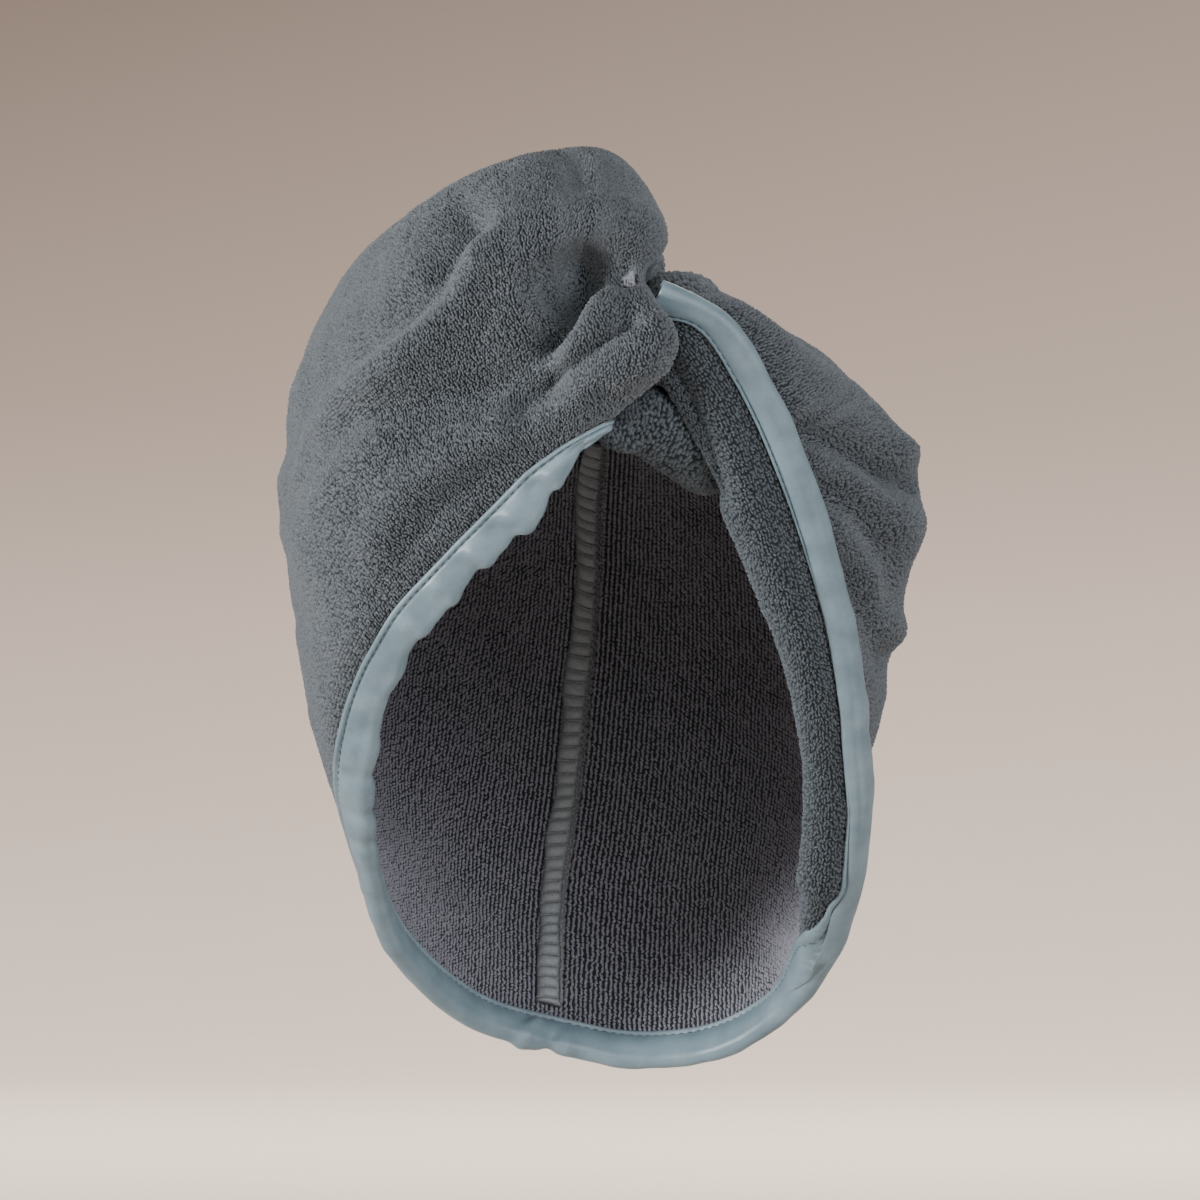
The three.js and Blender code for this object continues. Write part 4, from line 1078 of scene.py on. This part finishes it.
# The button is a profile of radius and height turned round the cloth's normal; the elastic is a tube
# along a long loop, round at one end and drawn out towards the crown at the other.
def makeClasp():
    at, place = np.array([11.0]), np.array([claspSizes["place"]])
    foot = leftPoint(at, place)
    up = surfaceNormal(leftPoint, at, place)
    rise = unit(leftPoint(at, place + 0.1) - foot)
    rise = unit(rise - up * (rise * up).sum())
    turn = np.stack([rise[0], up[0], np.cross(rise[0], up[0])], axis=1)
    low = claspSizes["foot"]
    under = low + claspSizes["stem"]
    top = under + claspSizes["headThickness"]
    half = claspSizes["head"] / 2
    stem, bevel, axis = claspSizes["stemRadius"], claspSizes["bevel"], 0.0002
    profile = np.array([
        (axis, low), (stem, low), (stem, under), (half - bevel, under), (half, under + bevel),
        (half, top - 2 * bevel), (half - bevel, top - 0.4 * bevel), (half - 3 * bevel, top),
        (half - 4.5 * bevel, top - bevel), (0.4 * half, top - 1.4 * bevel), (axis, top - 1.3 * bevel)])
    angle = 2 * math.pi * np.arange(claspSizes["sides"]) / claspSizes["sides"]
    ring = np.stack([np.cos(angle), np.zeros(len(angle)), np.sin(angle)], -1)
    points = profile[:, None, :1] * ring[None] + profile[:, None, 1:] * np.array([0, 1, 0])
    disc = makeRings("claspButton", points @ turn.T + foot[0], button)
    declare(disc, "nape_clasp")

    wire = claspSizes["wire"] / 2
    reach = claspSizes["loopWidth"] / 2 - wire
    angle = np.linspace(0, 2 * math.pi, 97)
    drawn = (claspSizes["loopLength"] - claspSizes["loopWidth"]) * 0.5 * (1 + np.tanh(6 * np.cos(angle)))
    path = np.stack([reach * np.cos(angle) + drawn, np.full(97, low + wire), reach * np.sin(angle)], -1)
    path = path @ turn.T + foot[0]
    declare(makePiece("claspElasticLoop", *tubes(path[None], wire * 0.92, 16), edgeThread))


makeClasp()
print("clasp made")

# The floor lies under the towel and runs far back before it curves up, with painted shade: pale below and
# greyer above.
stageSizes = {"floor": -0.40, "front": -8.0, "bend": 9.0, "radius": 5.0, "top": 9.0, "half": 14.0}


# Matt paper, with painted shade and light: a broad painted shade from pale at the foot to brown-grey above,
# and painted light that makes it paler to the right.
def stageMaterial():
    material, tree, place = newMaterial("paperMattPaintedShade")
    height = addNode(tree, "ShaderNodeSeparateXYZ", {"Vector": place}, "Z")
    width = addNode(tree, "ShaderNodeSeparateXYZ", {"Vector": place}, "X")
    low = addNode(tree, "ShaderNodeMapRange", {0: height, 1: -0.42, 2: 0.05})
    high = addNode(tree, "ShaderNodeMapRange", {0: height, 1: -0.1, 2: 0.5})
    lit = addNode(tree, "ShaderNodeMapRange", {0: width, 1: -0.6, 2: 0.6, 4: 0.3})
    grain = addNode(tree, "ShaderNodeTexNoise", {"Vector": place, "Scale": 1000 / 60, "Detail": 3.0})
    grain = addNode(tree, "ShaderNodeMapRange", {0: grain, 1: 0.3, 2: 0.7, 4: 0.04})
    colour = "#f2e6dc"
    for share, shade in ((low, "#cbbbb1"), (high, "#85776f"), (lit, "#e6dad1"), (grain, "#b5a9a2")):
        colour = addNode(tree, "ShaderNodeMix", {0: share, 6: colour, 7: shade}, 2, data_type="RGBA")
    return finishMaterial(material, {"Base Color": colour, "Roughness": 0.95, "Specular IOR Level": 0.05})


turn = np.linspace(0, math.pi / 2, 48)
radius = stageSizes["radius"]
profileY = np.concatenate([[stageSizes["front"]], stageSizes["bend"] + radius * np.sin(turn),
                           [stageSizes["bend"] + radius]])
profileZ = stageSizes["floor"] + np.concatenate([[0], radius * (1 - np.cos(turn)), [stageSizes["top"]]])
across = np.linspace(-stageSizes["half"], stageSizes["half"], 9)
stagePoints = np.stack(np.broadcast_arrays(across[None], profileY[:, None], profileZ[:, None]), -1)
backdrop = makePiece("paperBackdrop", stagePoints.reshape(-1, 3), [gridFaces(len(profileY), 9)[:, ::-1]],
                     stageMaterial())


# Soft studio light: large panels, each turned to a point.
def addLight(name, place, toward, size, power, colour):
    light = bpy.data.lights.new(name, "AREA")
    light.shape = "DISK"
    light.size = size
    light.energy = power
    light.color = linearColour(colour)[:3]
    holder = bpy.data.objects.new(name, light)
    bpy.context.scene.collection.objects.link(holder)
    holder.location = place
    way = np.array(toward) - np.array(place)
    holder.rotation_euler = (math.acos(way[2] / np.linalg.norm(way)) + math.pi, 0,
                             math.atan2(way[1], way[0]) + math.pi / 2)


middle = (0, 0, -0.09)  # of the towel
addLight("softKey", (-2.3, -1.1, -0.15), middle, 0.8, 84, "#fefeff")
addLight("softFill", (1.6, -1.8, 0.3), middle, 1.6, 30, "#f6f9ff")
addLight("softTop", (0.1, 0.4, 1.7), middle, 1.2, 5, "#fffcf8")
addLight("softFront", (0.3, -3.0, 1.2), middle, 1.2, 19, "#fefeff")
addLight("backdropGlow", (0.9, 7.0, 3.0), (0.9, 7.6, -0.4), 3.0, 330, "#fff4ea")

world = bpy.data.worlds.new("studioAir")
world.use_nodes = True
world.node_tree.nodes["Background"].inputs["Color"].default_value = linearColour("#d8d4d0")
world.node_tree.nodes["Background"].inputs["Strength"].default_value = 0.5
bpy.context.scene.world = world

# The camera stands level in front, far back, as the photograph's does.
cameraSizes = {"distance": 8.0, "height": -0.09084, "frame": 0.360, "sensor": 36.0}
lens = bpy.data.cameras.new("frontCamera")
lens.sensor_width = cameraSizes["sensor"]
lens.lens = cameraSizes["sensor"] * cameraSizes["distance"] / cameraSizes["frame"]
lens.clip_end = 60
camera = bpy.data.objects.new("frontCamera", lens)
camera.location = (0, -cameraSizes["distance"], cameraSizes["height"])
camera.rotation_euler = (math.pi / 2, 0, 0)
bpy.context.scene.collection.objects.link(camera)
bpy.context.scene.camera = camera
print("stage, lights and camera made")
